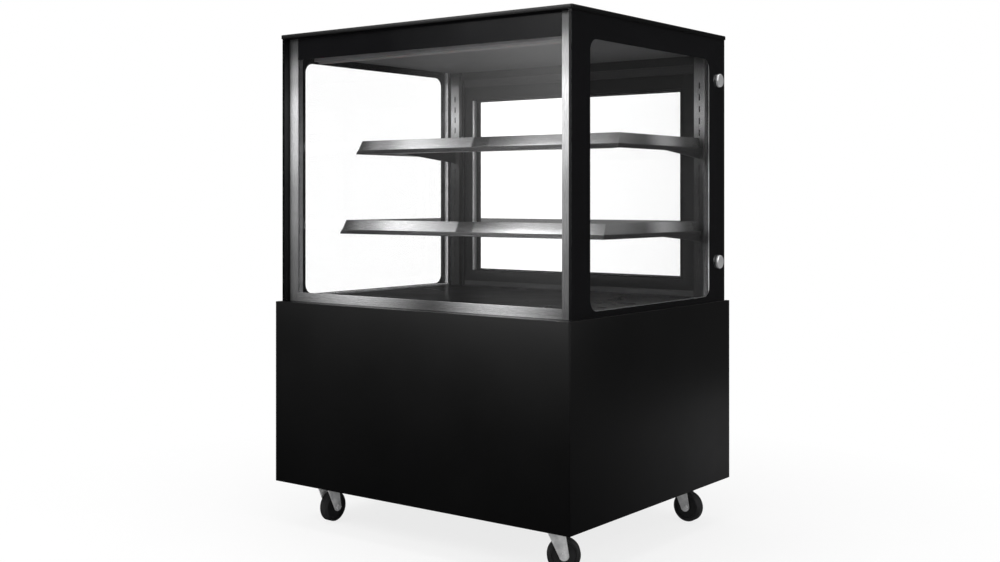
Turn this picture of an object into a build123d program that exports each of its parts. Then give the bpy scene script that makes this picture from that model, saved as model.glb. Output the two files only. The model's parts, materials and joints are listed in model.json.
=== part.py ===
from build123d import *
import math
import os

os.makedirs("parts", exist_ok=True)

# Refrigerated cake display: width along X, depth along Y, height along Z, front at -Y, floor at Z 0
base_width = 900
base_depth = 730
base_height = 454
ground_clearance = 107
glass_height = 666
lid_thickness = 10
lid_overhang = 3
lid_return = 40

# Clearances between pieces
fit = 0.3
running = 0.08
weld_gap = 0.1

# Sheet metal of the base
panel_sheet = 1.2
panel_corner = 4
panel_tongue = 28
hem_width = 12
side_ledge = 45
front_ledge = 75
rear_ledge = 80
rear_recess = 8
frame_plate = 2.5
frame_lip = 25
angle_leg = 25
angle_thickness = 3

# Glass box: insulated side and front units with a black printed border
glass_inset = 7
front_inset = 18
rear_inset = 14
outer_lite = 7
inner_lite = 5
front_lite = 6
cavity = 12
front_setback = 20
mask_thickness = 0.5
mask_front = 77
mask_rear = 76
mask_bottom = 14
mask_top = 56
mask_radius = 25
spacer_width = 10
spacer_inset = 2

# Polished trim, header and glass buttons
trim_thickness = 2
trim_width = 30
trim_bottom = 23
header_height = 54
button_radius = 17
button_height = 7
button_edge = 2.5
button_shank = 5
button_shank_length = 23
button_inset = 32
button_low = 100
button_high = 560

# Rear frame, door tracks and sliding doors
frame_depth = 46
post_width = 64
sill_height = 10
head_height = 63
track_sheet = 2
lane_width = 17
bottom_track_wall = 12
top_track_wall = 20
door_thickness = 16
door_overlap = 44
stile_width = 45
bottom_rail = 38
top_rail = 49
door_lift = 6
door_glass = 6
glass_pocket = 8
pull_length = 120
pull_width = 18
pull_depth = 5

# Display deck, ceiling and lamps
deck_height = 8
deck_sheet = 1.2
deck_gap = 1.5
deck_slot_length = 62
deck_slot_width = 9
deck_slot_count = 9
ceiling_thickness = 40
ceiling_sheet = 1
lamp_depth = 18
lamp_height = 16
lamp_inset = 20

# Shelf standards, brackets and shelves
standard_width = 30
standard_depth = 12
standard_sheet = 1.5
standard_inset = 55
slot_pitch = 30
slot_height = 16
slot_width = 4
first_slot = 24
lower_shelf_step = 6
upper_shelf_step = 13
lower_shelf_reach = 440
upper_shelf_reach = 379
shelf_inset = 51
shelf_rear_gap = 8
slot_drop = 16
nosing_height = 36
nosing_flare = 17
side_flare = 6
nosing_sheet = 1.5
shelf_flange = 14
shelf_glass = 6
bracket_thickness = 3
bracket_rear_height = 44
bracket_front_height = 12
bracket_set_back = 60
hook_reach = 5
hook_drop = 5
shelf_lamp_height = 28

# Cold well, evaporator and its fans
well_height = 180
well_wall = 45
well_floor = 44
well_front = 80
well_rear = 115
liner_sheet = 1
drain_radius = 10
drain_wall = 1.5
drain_gap = 20
drain_inset_y = 185
coil_inset_x = 190
coil_inset_y = 205
coil_depth = 80
coil_height = 90
coil_lift = 12
coil_grooves = 26
fin_thickness = 0.4
fin_depth = 0.3
end_plate = 2
plate_proud = 4
evaporator_bend = 11
evaporator_fan_size = 120
evaporator_fan_depth = 25
evaporator_fan_inset_y = 293
evaporator_fan_tip = 53
evaporator_fan_hub = 19
evaporator_blade_depth = 15
fan_boss = 7
fan_spindle = 2
fan_arm = 6
blade_sheet = 1.6

# Condensing unit
condenser_headroom = 35.5
condenser_depth = 40
condenser_inset_y = 75
condenser_foot = 6
condenser_grooves = 20
condenser_bend = 12
shroud_depth = 40
shroud_sheet = 1.2
shroud_collar = 24
fan_margin = 17
duct_margin = 4
condenser_fan_hub = 26
condenser_fan_depth = 22
motor_radius = 40
motor_length = 52
motor_gap = 12
motor_edge = 6
motor_bracket = 60
motor_bracket_sheet = 3
motor_foot = 45
compressor_headroom = 95.5
compressor_inset_y = 160
compressor_radius = 68
compressor_plate = (170, 130)
compressor_seam = 92
compressor_rim = 5
terminal_box = (26, 54, 54)
grommet_height = 12
tube_radius = 4
drier_radius = 10
drier_length = 80
pan_depth = 230
pan_height = 45
pan_wall = 1.5
pan_corner = 12
pan_inset_x = 50
pan_inset_y = 125
pan_clearance = 100

# Controls on the rear fascia
fascia_height = 180
controller_inset = 150
controller_width = 77
controller_height = 35
controller_bezel = 5
controller_body_depth = 50
cutout_margin = 3
display_width = 34
display_height = 15
display_depth = 1.2
key_width = 9
key_height = 6
key_depth = 3.4
key_proud = 1.2
key_pitch = 11
key_inset = 8
key_travel = 0.8
rocker_width = 15
rocker_height = 21
rocker_bezel = 3
rocker_body_depth = 24
rocker_pitch = 40
rocker_inset = 270
rocker_tilt = 8
rocker_thickness = 5
gland_inset = 90
gland_bore = 4.5
gland_radius = 8
gland_nut = 11
gland_length = 26

# Louvred grille
louvre_height = 7
louvre_depth = 9
louvre_pitch = 20
louvre_border = 15
louvre_columns = 4
louvre_gap = 30

# Casters
caster_inset_x = 100
caster_inset_y = 80
wheel_radius = 37.5
wheel_width = 27
wheel_trail = 25
wheel_edge = 5
wheel_dish = 3
wheel_lip = 1
hub_radius = 11
axle_radius = 4
fork_gap = 2
fork_sheet = 3
fork_width = 38
crown_margin = 12
crown_shift = 0.3
caster_plate_x = 95
caster_plate_y = 67
caster_plate_thickness = 2.5
caster_bolt_x = 75
caster_bolt_y = 45
bolt_radius = 4
bolt_head = 6.5
bolt_head_height = 5
race_radius = 22
race_height = 7
kingpin_radius = 5
screw_radius = 2.1
screw_head = 4.2
screw_head_height = 2.2
screw_edge = 18
screw_step = 22
screw_foot = 36

# Planes and limits worked out from the sizes above
half_x = base_width / 2
half_y = base_depth / 2
base_z0 = ground_clearance
base_z1 = base_z0 + base_height
lid_z0 = base_z1 + glass_height
lid_z1 = lid_z0 + lid_thickness
glass_x1 = half_x - glass_inset
glass_x0 = glass_x1 - outer_lite
inner_x1 = glass_x0 - cavity
inner_x0 = inner_x1 - inner_lite
glass_y0 = -half_y + front_inset
glass_y1 = half_y - rear_inset
front_y0 = glass_y0 + front_setback
front_y1 = front_y0 + 2 * front_lite + cavity
rear_y0 = glass_y1 - frame_depth
unit_half_x = glass_x0 - mask_thickness - fit
frame_x = half_x - 2 * panel_sheet - 2 * fit - fit / 3
frame_y0 = -half_y + panel_sheet + fit
rear_y = half_y - rear_recess
frame_y1 = rear_y - panel_sheet - fit
tray_top = base_z0 + frame_plate
well_z0 = base_z1 - well_height
machine_height = well_z0 - tray_top
flange_z0 = base_z1 - panel_sheet
deck_z1 = base_z1 + deck_height
ceiling_z0 = lid_z0 - ceiling_thickness
standard_offset = half_x - standard_inset
shelf_half_width = half_x - shelf_inset


def slab(x, y, z, mode=Mode.ADD):
    """A box between two limits on each axis, inside the current part."""
    with Locations(((x[0] + x[1]) / 2, (y[0] + y[1]) / 2, (z[0] + z[1]) / 2)):
        Box(x[1] - x[0], y[1] - y[0], z[1] - z[0], mode=mode)


def span(centre, size):
    """The two limits of a size about its centre."""
    return centre - size / 2, centre + size / 2


# Base frame: bottom tray, corner angles and the ring that carries the well
rear_post_x = frame_x - angle_leg / 2
screw_rows = (
    tray_top + screw_foot,
    well_z0 - screw_step,
    well_z0 + screw_step,
    base_z1 - screw_edge,
)
bolt_places = [
    (sx * (half_x - caster_inset_x) + bx, sy * (half_y - caster_inset_y) + by)
    for sx in (-1, 1)
    for sy in (-1, 1)
    for bx in span(0, caster_bolt_x)
    for by in span(0, caster_bolt_y)
]
frame_mid_y = (frame_y0 + frame_y1) / 2
frame_span_y = frame_y1 - frame_y0
carrier_y1 = rear_y0 - fit
post_foot = base_z0 + frame_lip + weld_gap


def angle_post(side, face_y, inward, low, high):
    """An upright angle whose outer corner lies on the frame's corner."""
    corner_x = side * frame_x
    with BuildSketch(Plane.XY.offset(low)) as section:
        with BuildLine():
            Polyline(
                (corner_x, face_y),
                (corner_x - side * angle_leg, face_y),
                (corner_x - side * angle_leg, face_y + inward * angle_thickness),
                (corner_x - side * angle_thickness, face_y + inward * angle_thickness),
                (corner_x - side * angle_thickness, face_y + inward * angle_leg),
                (corner_x, face_y + inward * angle_leg),
                close=True,
            )
        make_face()
    extrude(section.sketch, amount=high - low)


def angle_rail(x, y, top, upright):
    """A level angle: its flat leg at the top, and its upright leg between the two limits given."""
    slab(x, y, (top - angle_thickness, top))
    slab(*upright, (top - angle_leg, top))


with BuildPart() as base_frame:
    with BuildSketch(Plane.XY.offset(base_z0)):
        with Locations((0, frame_mid_y)):
            Rectangle(2 * frame_x, frame_span_y)
    extrude(amount=frame_lip)
    offset(amount=-frame_plate, openings=base_frame.faces().sort_by(Axis.Z)[-1])
    for side in (-1, 1):
        angle_post(side, frame_y0, 1, post_foot, well_z0 - angle_leg - weld_gap)
        angle_post(side, frame_y1, -1, post_foot, flange_z0)
        rail_x = sorted((side * frame_x, side * (frame_x - angle_leg)))
        rail_edge = sorted((side * frame_x, side * (frame_x - angle_thickness)))
        rail_y = (frame_y0 + angle_leg + weld_gap, carrier_y1 - angle_leg - weld_gap)
        angle_rail(rail_x, rail_y, well_z0, (rail_edge, rail_y))
        slab(
            rail_edge,
            (carrier_y1 + weld_gap, frame_y1 - angle_leg - weld_gap),
            (well_z0 - angle_leg, well_z0),
        )
    for near, far, edge in (
        (frame_y0, frame_y0 + angle_leg, (frame_y0, frame_y0 + angle_thickness)),
        (carrier_y1 - angle_leg, carrier_y1, (carrier_y1 - angle_thickness, carrier_y1)),
    ):
        angle_rail((-frame_x, frame_x), (near, far), well_z0, ((-frame_x, frame_x), edge))
    top_x = (-frame_x + angle_leg + weld_gap, frame_x - angle_leg - weld_gap)
    angle_rail(
        top_x,
        (frame_y1 - angle_leg, frame_y1),
        flange_z0,
        (top_x, (frame_y1 - angle_thickness, frame_y1)),
    )
    with Locations(*[(x, y, base_z0) for x, y in bolt_places]):
        Cylinder(bolt_radius + running, 3 * frame_plate, mode=Mode.SUBTRACT)
    with Locations(*[(side * rear_post_x, frame_y1, z) for side in (-1, 1) for z in screw_rows]):
        Cylinder(screw_radius + running, 3 * angle_thickness, rotation=(90, 0, 0), mode=Mode.SUBTRACT)
base_frame.part.label = "base_frame"
export_step(base_frame.part, "parts/base_frame.step")

# Front panel: a folded sheet with rounded uprights, a top ledge and joggled tongues
tongue_x1 = half_x - panel_sheet - fit
with BuildPart() as front_panel:
    slab((-half_x, half_x), (-half_y, -half_y + front_ledge), (base_z0, base_z1))
    fillet(front_panel.edges().filter_by(Axis.Z).group_by(Axis.Y)[0], panel_corner)
    offset(
        amount=-panel_sheet,
        openings=[
            front_panel.faces().sort_by(Axis.Y)[-1],
            front_panel.faces().sort_by(Axis.Z)[0],
        ],
    )
    for side in (-1, 1):
        outer = sorted((side * tongue_x1, side * (half_x + 1)))
        tongue = sorted((side * (tongue_x1 - panel_sheet), side * tongue_x1))
        back = (-half_y + panel_corner, -half_y + front_ledge + 1)
        slab(outer, back, (base_z0 - 1, base_z1 + 1), mode=Mode.SUBTRACT)
        slab(
            tongue,
            (-half_y + panel_sheet / 2, -half_y + panel_tongue),
            (base_z0, base_z1 - panel_sheet / 2),
        )
front_panel.part.label = "front_panel"
export_step(front_panel.part, "parts/front_panel.step")

# Side panels: a sheet with a hem at the back and a ledge under the side glass
ledge_y0 = -half_y + front_ledge + fit
ledge_y1 = half_y - rear_ledge - fit
with BuildPart() as right_panel:
    with BuildSketch(Plane.XY.offset(base_z0)):
        with BuildLine():
            Polyline(
                (half_x, -half_y + panel_corner + fit),
                (half_x, half_y),
                (half_x - hem_width, half_y),
                (half_x - hem_width, half_y - panel_sheet),
                (half_x - panel_sheet, half_y - panel_sheet),
                (half_x - panel_sheet, -half_y + panel_corner + fit),
                close=True,
            )
        make_face()
    extrude(amount=base_height)
    slab((half_x - side_ledge, half_x - panel_sheet / 2), (ledge_y0, ledge_y1), (flange_z0, base_z1))
right_panel.part.label = "right_panel"
export_step(right_panel.part, "parts/right_panel.step")

with BuildPart() as left_panel:
    add(mirror(right_panel.part, about=Plane.YZ, mode=Mode.PRIVATE))
left_panel.part.label = "left_panel"
export_step(left_panel.part, "parts/left_panel.step")

# Rear grille: a flat sheet with rows of pressed louvres that open downwards
rear_half_x = half_x - panel_sheet - fit
grille_z0 = base_z0
grille_z1 = base_z1 - fascia_height - fit
louvre_length = half_x / 3
louvre_x = [
    (i - (louvre_columns - 1) / 2) * (louvre_length + louvre_gap) for i in range(louvre_columns)
]
louvre_low = tray_top + frame_lip
louvre_high = well_z0 - angle_leg
louvre_middle = (louvre_low + louvre_high) / 2
louvre_rows = int((louvre_high - louvre_low - louvre_border) / louvre_pitch)
louvre_z = [louvre_middle + (i - (louvre_rows - 1) / 2) * louvre_pitch for i in range(louvre_rows)]


def louvre_section(shrink):
    """The triangular section of a louvre hood, inside the sheet plane, smaller by its wall."""
    with BuildSketch(Plane.YZ) as section:
        with BuildLine():
            Polyline(
                (0, louvre_height - 2 * shrink),
                (0, -shrink),
                (-(louvre_depth - shrink), -shrink),
                close=True,
            )
        make_face()
    return section.sketch


with BuildPart() as louvre_hood:
    extrude(louvre_section(0), amount=louvre_length / 2, both=True)
with BuildPart() as louvre_mouth:
    extrude(louvre_section(panel_sheet), amount=louvre_length / 2 - panel_sheet, both=True)
    slab(
        (-louvre_length / 2 + panel_sheet, louvre_length / 2 - panel_sheet),
        (-panel_sheet / 2, 2 * panel_sheet),
        (-panel_sheet, louvre_height - 2 * panel_sheet),
    )
louvre_places = [(x, rear_y - panel_sheet, z) for x in louvre_x for z in louvre_z]
with BuildPart() as rear_grille:
    slab((-rear_half_x, rear_half_x), (rear_y - panel_sheet, rear_y), (grille_z0, grille_z1))
    with Locations(*louvre_places):
        add(louvre_hood.part)
    with Locations(*louvre_places):
        add(louvre_mouth.part, mode=Mode.SUBTRACT)
    with Locations(*[(side * rear_post_x, rear_y, z) for side in (-1, 1) for z in screw_rows[:2]]):
        Cylinder(screw_radius + fit, 3 * panel_sheet, rotation=(90, 0, 0), mode=Mode.SUBTRACT)
rear_grille.part.label = "rear_grille"
export_step(rear_grille.part, "parts/rear_grille.step")

# Control fascia: the upper rear sheet, with its top ledge and the cut-outs for the controls
fascia_z0 = base_z1 - fascia_height
control_z = (fascia_z0 + flange_z0 - angle_leg) / 2
controller_x = half_x - controller_inset
rocker_centres = [half_x - rocker_inset - i * rocker_pitch for i in range(2)]
gland_x = -half_x + gland_inset
with BuildPart() as control_fascia:
    slab((-rear_half_x, rear_half_x), (rear_y - panel_sheet, rear_y), (fascia_z0, base_z1))
    slab((-rear_half_x, rear_half_x), (half_y - rear_ledge, rear_y - panel_sheet / 2), (flange_z0, base_z1))
    with Locations((controller_x, rear_y, control_z)):
        Box(
            controller_width - 2 * cutout_margin + 2 * fit,
            3 * panel_sheet,
            controller_height - 2 * cutout_margin + 2 * fit,
            mode=Mode.SUBTRACT,
        )
    with Locations(*[(x, rear_y, control_z) for x in rocker_centres]):
        Box(
            rocker_width - 2 + 2 * fit,
            3 * panel_sheet,
            rocker_height - 2 + 2 * fit,
            mode=Mode.SUBTRACT,
        )
    with Locations((gland_x, rear_y, control_z)):
        Cylinder(gland_radius + fit, 3 * panel_sheet, rotation=(90, 0, 0), mode=Mode.SUBTRACT)
    with Locations(*[(side * rear_post_x, rear_y, z) for side in (-1, 1) for z in screw_rows[2:]]):
        Cylinder(screw_radius + fit, 3 * panel_sheet, rotation=(90, 0, 0), mode=Mode.SUBTRACT)
control_fascia.part.label = "control_fascia"
export_step(control_fascia.part, "parts/control_fascia.step")

# Temperature controller: bezel and body, with a display recess and three key pockets
bezel_y = rear_y + controller_bezel
display_x = controller_x + (controller_width - display_width) / 2 - 2 * cutout_margin
key_x = [controller_x - controller_width / 2 + key_inset + i * key_pitch for i in range(3)]
key_pocket = key_depth - key_proud + key_travel + fit
with BuildPart() as temperature_controller:
    slab(span(controller_x, controller_width), (rear_y, bezel_y), span(control_z, controller_height))
    fillet(temperature_controller.edges().filter_by(Axis.Y), 3)
    chamfer(temperature_controller.faces().sort_by(Axis.Y)[-1].edges(), 1)
    slab(
        span(controller_x, controller_width - 2 * cutout_margin),
        (rear_y - controller_body_depth, rear_y + 1),
        span(control_z, controller_height - 2 * cutout_margin),
    )
    slab(
        span(display_x, display_width + 2 * fit),
        (bezel_y - display_depth, bezel_y + 1),
        span(control_z, display_height + 2 * fit),
        mode=Mode.SUBTRACT,
    )
    for x in key_x:
        slab(
            span(x, key_width + 2 * fit),
            (bezel_y - key_pocket, bezel_y + 1),
            span(control_z, key_height + 2 * fit),
            mode=Mode.SUBTRACT,
        )
temperature_controller.part.label = "temperature_controller"
export_step(temperature_controller.part, "parts/temperature_controller.step")

with BuildPart() as controller_display:
    slab(
        span(display_x, display_width),
        (bezel_y - display_depth, bezel_y),
        span(control_z, display_height),
    )
controller_display.part.label = "controller_display"
export_step(controller_display.part, "parts/controller_display.step")


def key_cap(x):
    """A controller key that stands proud of the bezel and can be pressed in."""
    with BuildPart() as cap:
        slab(
            span(x, key_width),
            (bezel_y + key_proud - key_depth, bezel_y + key_proud),
            span(control_z, key_height),
        )
        chamfer(cap.faces().sort_by(Axis.Y)[-1].edges(), 0.5)
    return cap


set_key = key_cap(key_x[0])
set_key.part.label = "set_key"
export_step(set_key.part, "parts/set_key.step")
down_key = key_cap(key_x[1])
down_key.part.label = "down_key"
export_step(down_key.part, "parts/down_key.step")
up_key = key_cap(key_x[2])
up_key.part.label = "up_key"
export_step(up_key.part, "parts/up_key.step")

# Rocker switches: two snapped-in housings, each with a tilting rocker
rocker_y = rear_y + rocker_bezel - rocker_thickness / 2
with BuildPart() as switch_housings:
    for x in rocker_centres:
        slab(span(x, rocker_width + 2), (rear_y, rear_y + rocker_bezel), span(control_z, rocker_height + 2))
        slab(
            span(x, rocker_width - 2),
            (rear_y - rocker_body_depth, rear_y + 1),
            span(control_z, rocker_height - 2),
        )
        slab(
            span(x, rocker_width - 4),
            (rear_y - rocker_thickness, rear_y + rocker_bezel + 1),
            span(control_z, rocker_height - 4),
            mode=Mode.SUBTRACT,
        )
switch_housings.part.label = "switch_housings"
export_step(switch_housings.part, "parts/switch_housings.step")


def rocker_cap(x):
    """A rocker tilted about its own middle, with its lower end standing out."""
    tilt = math.radians(rocker_tilt)
    tilted = Plane(
        origin=(x, rocker_y, control_z),
        x_dir=(1, 0, 0),
        z_dir=(0, math.cos(tilt), math.sin(tilt)),
    )
    with BuildPart(tilted) as cap:
        Box(rocker_width - 4 - 2 * fit, rocker_height - 6, rocker_thickness)
        chamfer(cap.edges().filter_by(Axis.X), 0.8)
    return cap


power_rocker = rocker_cap(rocker_centres[0])
power_rocker.part.label = "power_rocker"
export_step(power_rocker.part, "parts/power_rocker.step")
light_rocker = rocker_cap(rocker_centres[1])
light_rocker.part.label = "light_rocker"
export_step(light_rocker.part, "parts/light_rocker.step")

# Power gland: the bushing that the supply lead would pass through
gland_plane = Plane(origin=(gland_x, rear_y, control_z), x_dir=(1, 0, 0), z_dir=(0, 1, 0))
with BuildPart(gland_plane) as power_gland:
    with BuildSketch(gland_plane):
        RegularPolygon(gland_nut, 6)
    extrude(amount=rear_recess - 1)
    Cylinder(gland_radius, gland_length, align=(Align.CENTER, Align.CENTER, Align.MAX))
    Cylinder(gland_bore, 3 * gland_length, mode=Mode.SUBTRACT)
power_gland.part.label = "power_gland"
export_step(power_gland.part, "parts/power_gland.step")

# Fixings: pan-head screws of the rear sheets and hexagon bolts of the casters
screw_places = [(side * rear_post_x, rear_y, z) for side in (-1, 1) for z in screw_rows]
bolt_seat = base_z0 - caster_plate_thickness
with BuildPart() as fixings:
    for x, y, z in screw_places:
        with Locations(Plane(origin=(x, y, z), z_dir=(0, 1, 0))):
            Cylinder(
                screw_head, screw_head_height, align=(Align.CENTER, Align.CENTER, Align.MIN)
            )
            Cylinder(
                screw_radius,
                panel_sheet + fit + angle_thickness,
                align=(Align.CENTER, Align.CENTER, Align.MAX),
            )
    for x, y in bolt_places:
        with BuildSketch(Plane.XY.offset(bolt_seat)):
            with Locations((x, y)):
                RegularPolygon(bolt_head, 6, major_radius=False)
        extrude(amount=-bolt_head_height)
        with Locations((x, y, bolt_seat)):
            Cylinder(
                bolt_radius,
                caster_plate_thickness + frame_plate + 6,
                align=(Align.CENTER, Align.CENTER, Align.MIN),
            )
fixings.part.label = "fixings"
export_step(fixings.part, "parts/fixings.step")

# Cold well: a foam tub lined with a thin stainless tub that drains through the floor
well_y0 = -half_y + well_front
well_y1 = half_y - well_rear
well_x = half_x - side_ledge - fit
floor_z = well_z0 + well_floor
liner_top = flange_z0
pan_x0 = -half_x + pan_inset_x
pan_x1 = -half_x / 3 - pan_clearance
drain_x = (pan_x0 + pan_x1) / 2
drain_y = half_y - drain_inset_y
drain_low = tray_top + pan_height + drain_gap
with BuildPart() as well_insulation:
    slab((-frame_x, frame_x), (frame_y0, carrier_y1), (well_z0, liner_top - liner_sheet))
    slab(
        (-well_x - liner_sheet - fit, well_x + liner_sheet + fit),
        (well_y0 - liner_sheet - fit, well_y1 + liner_sheet + fit),
        (floor_z - liner_sheet, liner_top),
        mode=Mode.SUBTRACT,
    )
    with Locations((drain_x, drain_y, well_z0)):
        Cylinder(drain_radius + fit, 4 * well_floor, mode=Mode.SUBTRACT)
well_insulation.part.label = "well_insulation"
export_step(well_insulation.part, "parts/well_insulation.step")

with BuildPart() as well_liner:
    slab(
        (-well_x - liner_sheet, well_x + liner_sheet),
        (well_y0 - liner_sheet, well_y1 + liner_sheet),
        (floor_z - liner_sheet, liner_top),
    )
    slab((-frame_x, frame_x), (frame_y0, carrier_y1), (liner_top - liner_sheet, liner_top))
    slab((-well_x, well_x), (well_y0, well_y1), (floor_z, liner_top + 1), mode=Mode.SUBTRACT)
    drain_top = floor_z - liner_sheet / 2
    with Locations((drain_x, drain_y, drain_top)):
        Cylinder(
            drain_radius, drain_top - drain_low, align=(Align.CENTER, Align.CENTER, Align.MAX)
        )
        Cylinder(drain_radius - drain_wall, 3 * base_height, mode=Mode.SUBTRACT)
well_liner.part.label = "well_liner"
export_step(well_liner.part, "parts/well_liner.step")

# Deck: the folded pan on which the lowest tier stands, with air slots front and back
deck_x = inner_x0 - deck_gap
deck_y0 = front_y1 + deck_gap
deck_y1 = rear_y0 - standard_depth - fit
deck_slot_pitch = 2 * (deck_x - deck_slot_length) / (deck_slot_count - 1)
with BuildPart() as deck_pan:
    slab((-deck_x, deck_x), (deck_y0, deck_y1), (base_z1, deck_z1))
    fillet(deck_pan.edges().filter_by(Axis.Z), 3)
    offset(amount=-deck_sheet, openings=deck_pan.faces().sort_by(Axis.Z)[0])
    for y in (deck_y0 + 24, deck_y1 - 24):
        with BuildSketch(Plane.XY.offset(deck_z1)):
            with Locations((0, y)):
                with GridLocations(deck_slot_pitch, 1, deck_slot_count, 1):
                    Rectangle(deck_slot_length, deck_slot_width)
        extrude(amount=-3 * deck_sheet, mode=Mode.SUBTRACT)
deck_pan.part.label = "deck_pan"
export_step(deck_pan.part, "parts/deck_pan.step")

# Evaporator coil: a finned block between two end plates, with its return bends
coil_z0 = floor_z + coil_lift
coil_z1 = coil_z0 + coil_height
coil_y = half_y - coil_inset_y
coil_width = 2 * (half_x - coil_inset_x)


def finned_core(x, y, z, grooves):
    """A coil block with upright grooves between its fins, on its front and back."""
    pitch = (x[1] - x[0]) / grooves
    depth = (y[1] - y[0]) * fin_depth
    slab(x, y, z)
    for near, far in ((y[0] - 1, y[0] + depth), (y[1] - depth, y[1] + 1)):
        with BuildSketch(Plane.XY.offset(z[0] - 1)) as gaps:
            with Locations(((x[0] + x[1]) / 2, (near + far) / 2)):
                with GridLocations(pitch, 1, grooves, 1):
                    Rectangle(pitch * (1 - fin_thickness), far - near)
        extrude(gaps.sketch, amount=z[1] - z[0] + 2, mode=Mode.SUBTRACT)


def return_bends(x, direction, y, levels, radius, tube):
    """Half-turn bends that stand out of an end plate, one above the other."""
    for z in levels:
        end = Plane(origin=(x, y, z - radius), x_dir=(0, 1, 0), z_dir=(direction, 0, 0))
        with BuildSketch(end) as tube_end:
            Circle(tube)
        revolve(tube_end.sketch, axis=Axis((x, y, z), (0, 1, 0)), revolution_arc=180 * -direction)


with BuildPart() as evaporator_coil:
    coil_x = span(0, coil_width)
    coil_y_span = span(coil_y, coil_depth)
    finned_core(coil_x, coil_y_span, (coil_z0, coil_z1), coil_grooves)
    for x in coil_x:
        slab(
            span(x, end_plate),
            (coil_y_span[0] - plate_proud, coil_y_span[1] + plate_proud),
            (floor_z, coil_z1 + plate_proud),
        )
    bend_z = (coil_z0 + 2 * evaporator_bend, coil_z1 - 2 * evaporator_bend)
    return_bends(coil_x[1] + end_plate / 2, 1, coil_y, bend_z, evaporator_bend, tube_radius)
evaporator_coil.part.label = "evaporator_coil"
export_step(evaporator_coil.part, "parts/evaporator_coil.step")


def fan_wheel(centre, hub, tip, depth, blades, bore):
    """Twisted blades around a hub, turning about an axis along Y."""
    with BuildPart() as blade:
        for radius, chord, pitch in ((hub - 2, depth * 1.1, 48), (tip, depth * 1.9, 24)):
            angle = math.radians(pitch)
            section = Plane(
                origin=(radius, 0, 0),
                x_dir=(0, math.cos(angle), math.sin(angle)),
                z_dir=(1, 0, 0),
            )
            with BuildSketch(section):
                Rectangle(chord, blade_sheet)
        loft(ruled=True)
    with BuildPart(Plane(origin=centre, x_dir=(1, 0, 0), z_dir=(0, 1, 0))) as wheel:
        Cylinder(hub, depth)
        with PolarLocations(0, blades):
            add(blade.part)
        Cylinder(bore, 3 * depth, mode=Mode.SUBTRACT)
    return wheel


# Evaporator fans: square frames with a round duct, a motor boss and a spindle
fan_z = floor_z + evaporator_fan_size / 2
fan_duct = evaporator_fan_tip + 2.5
evaporator_fan_x = coil_width / 4
evaporator_fan_y = half_y - evaporator_fan_inset_y
fan_places = [(side * evaporator_fan_x, evaporator_fan_y, fan_z) for side in (-1, 1)]
with BuildPart() as evaporator_fan_frames:
    for x, y, z in fan_places:
        with Locations((x, y, z)):
            Box(evaporator_fan_size, evaporator_fan_depth, evaporator_fan_size)
            Cylinder(fan_duct, 2 * evaporator_fan_depth, rotation=(90, 0, 0), mode=Mode.SUBTRACT)
        back = y + evaporator_fan_depth / 2
        for angle in (45, 135):
            with Locations(Location((x, back - fan_arm / 3, z), (0, angle, 0))):
                Box(2 * fan_duct + 2, fan_arm * 2 / 3, fan_arm)
        with Locations((x, back - fan_boss / 2, z)):
            Cylinder(evaporator_fan_hub, fan_boss, rotation=(90, 0, 0))
        with Locations((x, back - fan_boss, z)):
            Cylinder(
                fan_spindle,
                evaporator_blade_depth + 1.5,
                rotation=(90, 0, 0),
                align=(Align.CENTER, Align.CENTER, Align.MIN),
            )
evaporator_fan_frames.part.label = "evaporator_fan_frames"
export_step(evaporator_fan_frames.part, "parts/evaporator_fan_frames.step")

fan_seat = evaporator_fan_y + evaporator_fan_depth / 2 - fan_boss
wheel_y = fan_seat - fit - evaporator_blade_depth / 2
for name, side in (("left", -1), ("right", 1)):
    evaporator_fan = fan_wheel(
        (side * evaporator_fan_x, wheel_y, fan_z),
        evaporator_fan_hub,
        evaporator_fan_tip,
        evaporator_blade_depth,
        7,
        fan_spindle + running,
    )
    evaporator_fan.part.label = f"evaporator_fan_{name}"
    export_step(evaporator_fan.part, f"parts/evaporator_fan_{name}.step")

# Condenser: a finned block behind the grille, standing on the tray
condenser_x = half_x / 3
condenser_width = 2 * half_x / 3
condenser_height = machine_height - condenser_headroom
condenser_y = half_y - condenser_inset_y
cond_x = span(condenser_x, condenser_width)
cond_y = (condenser_y, condenser_y + condenser_depth)
cond_z = (tray_top + condenser_foot, tray_top + condenser_height)
bend_count = int((cond_z[1] - cond_z[0]) / (4 * condenser_bend))
bend_step = (cond_z[1] - cond_z[0]) / bend_count
with BuildPart() as condenser_coil:
    finned_core(cond_x, cond_y, cond_z, condenser_grooves)
    for x in cond_x:
        plate_y = (cond_y[0], cond_y[1] + plate_proud)
        slab(span(x, end_plate), plate_y, (tray_top, cond_z[1] + plate_proud))
    return_bends(
        cond_x[1] + end_plate / 2,
        1,
        condenser_y + condenser_depth / 2,
        [cond_z[0] + bend_step * (i + 0.5) for i in range(bend_count)],
        condenser_bend,
        tube_radius,
    )
condenser_coil.part.label = "condenser_coil"
export_step(condenser_coil.part, "parts/condenser_coil.step")

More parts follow.
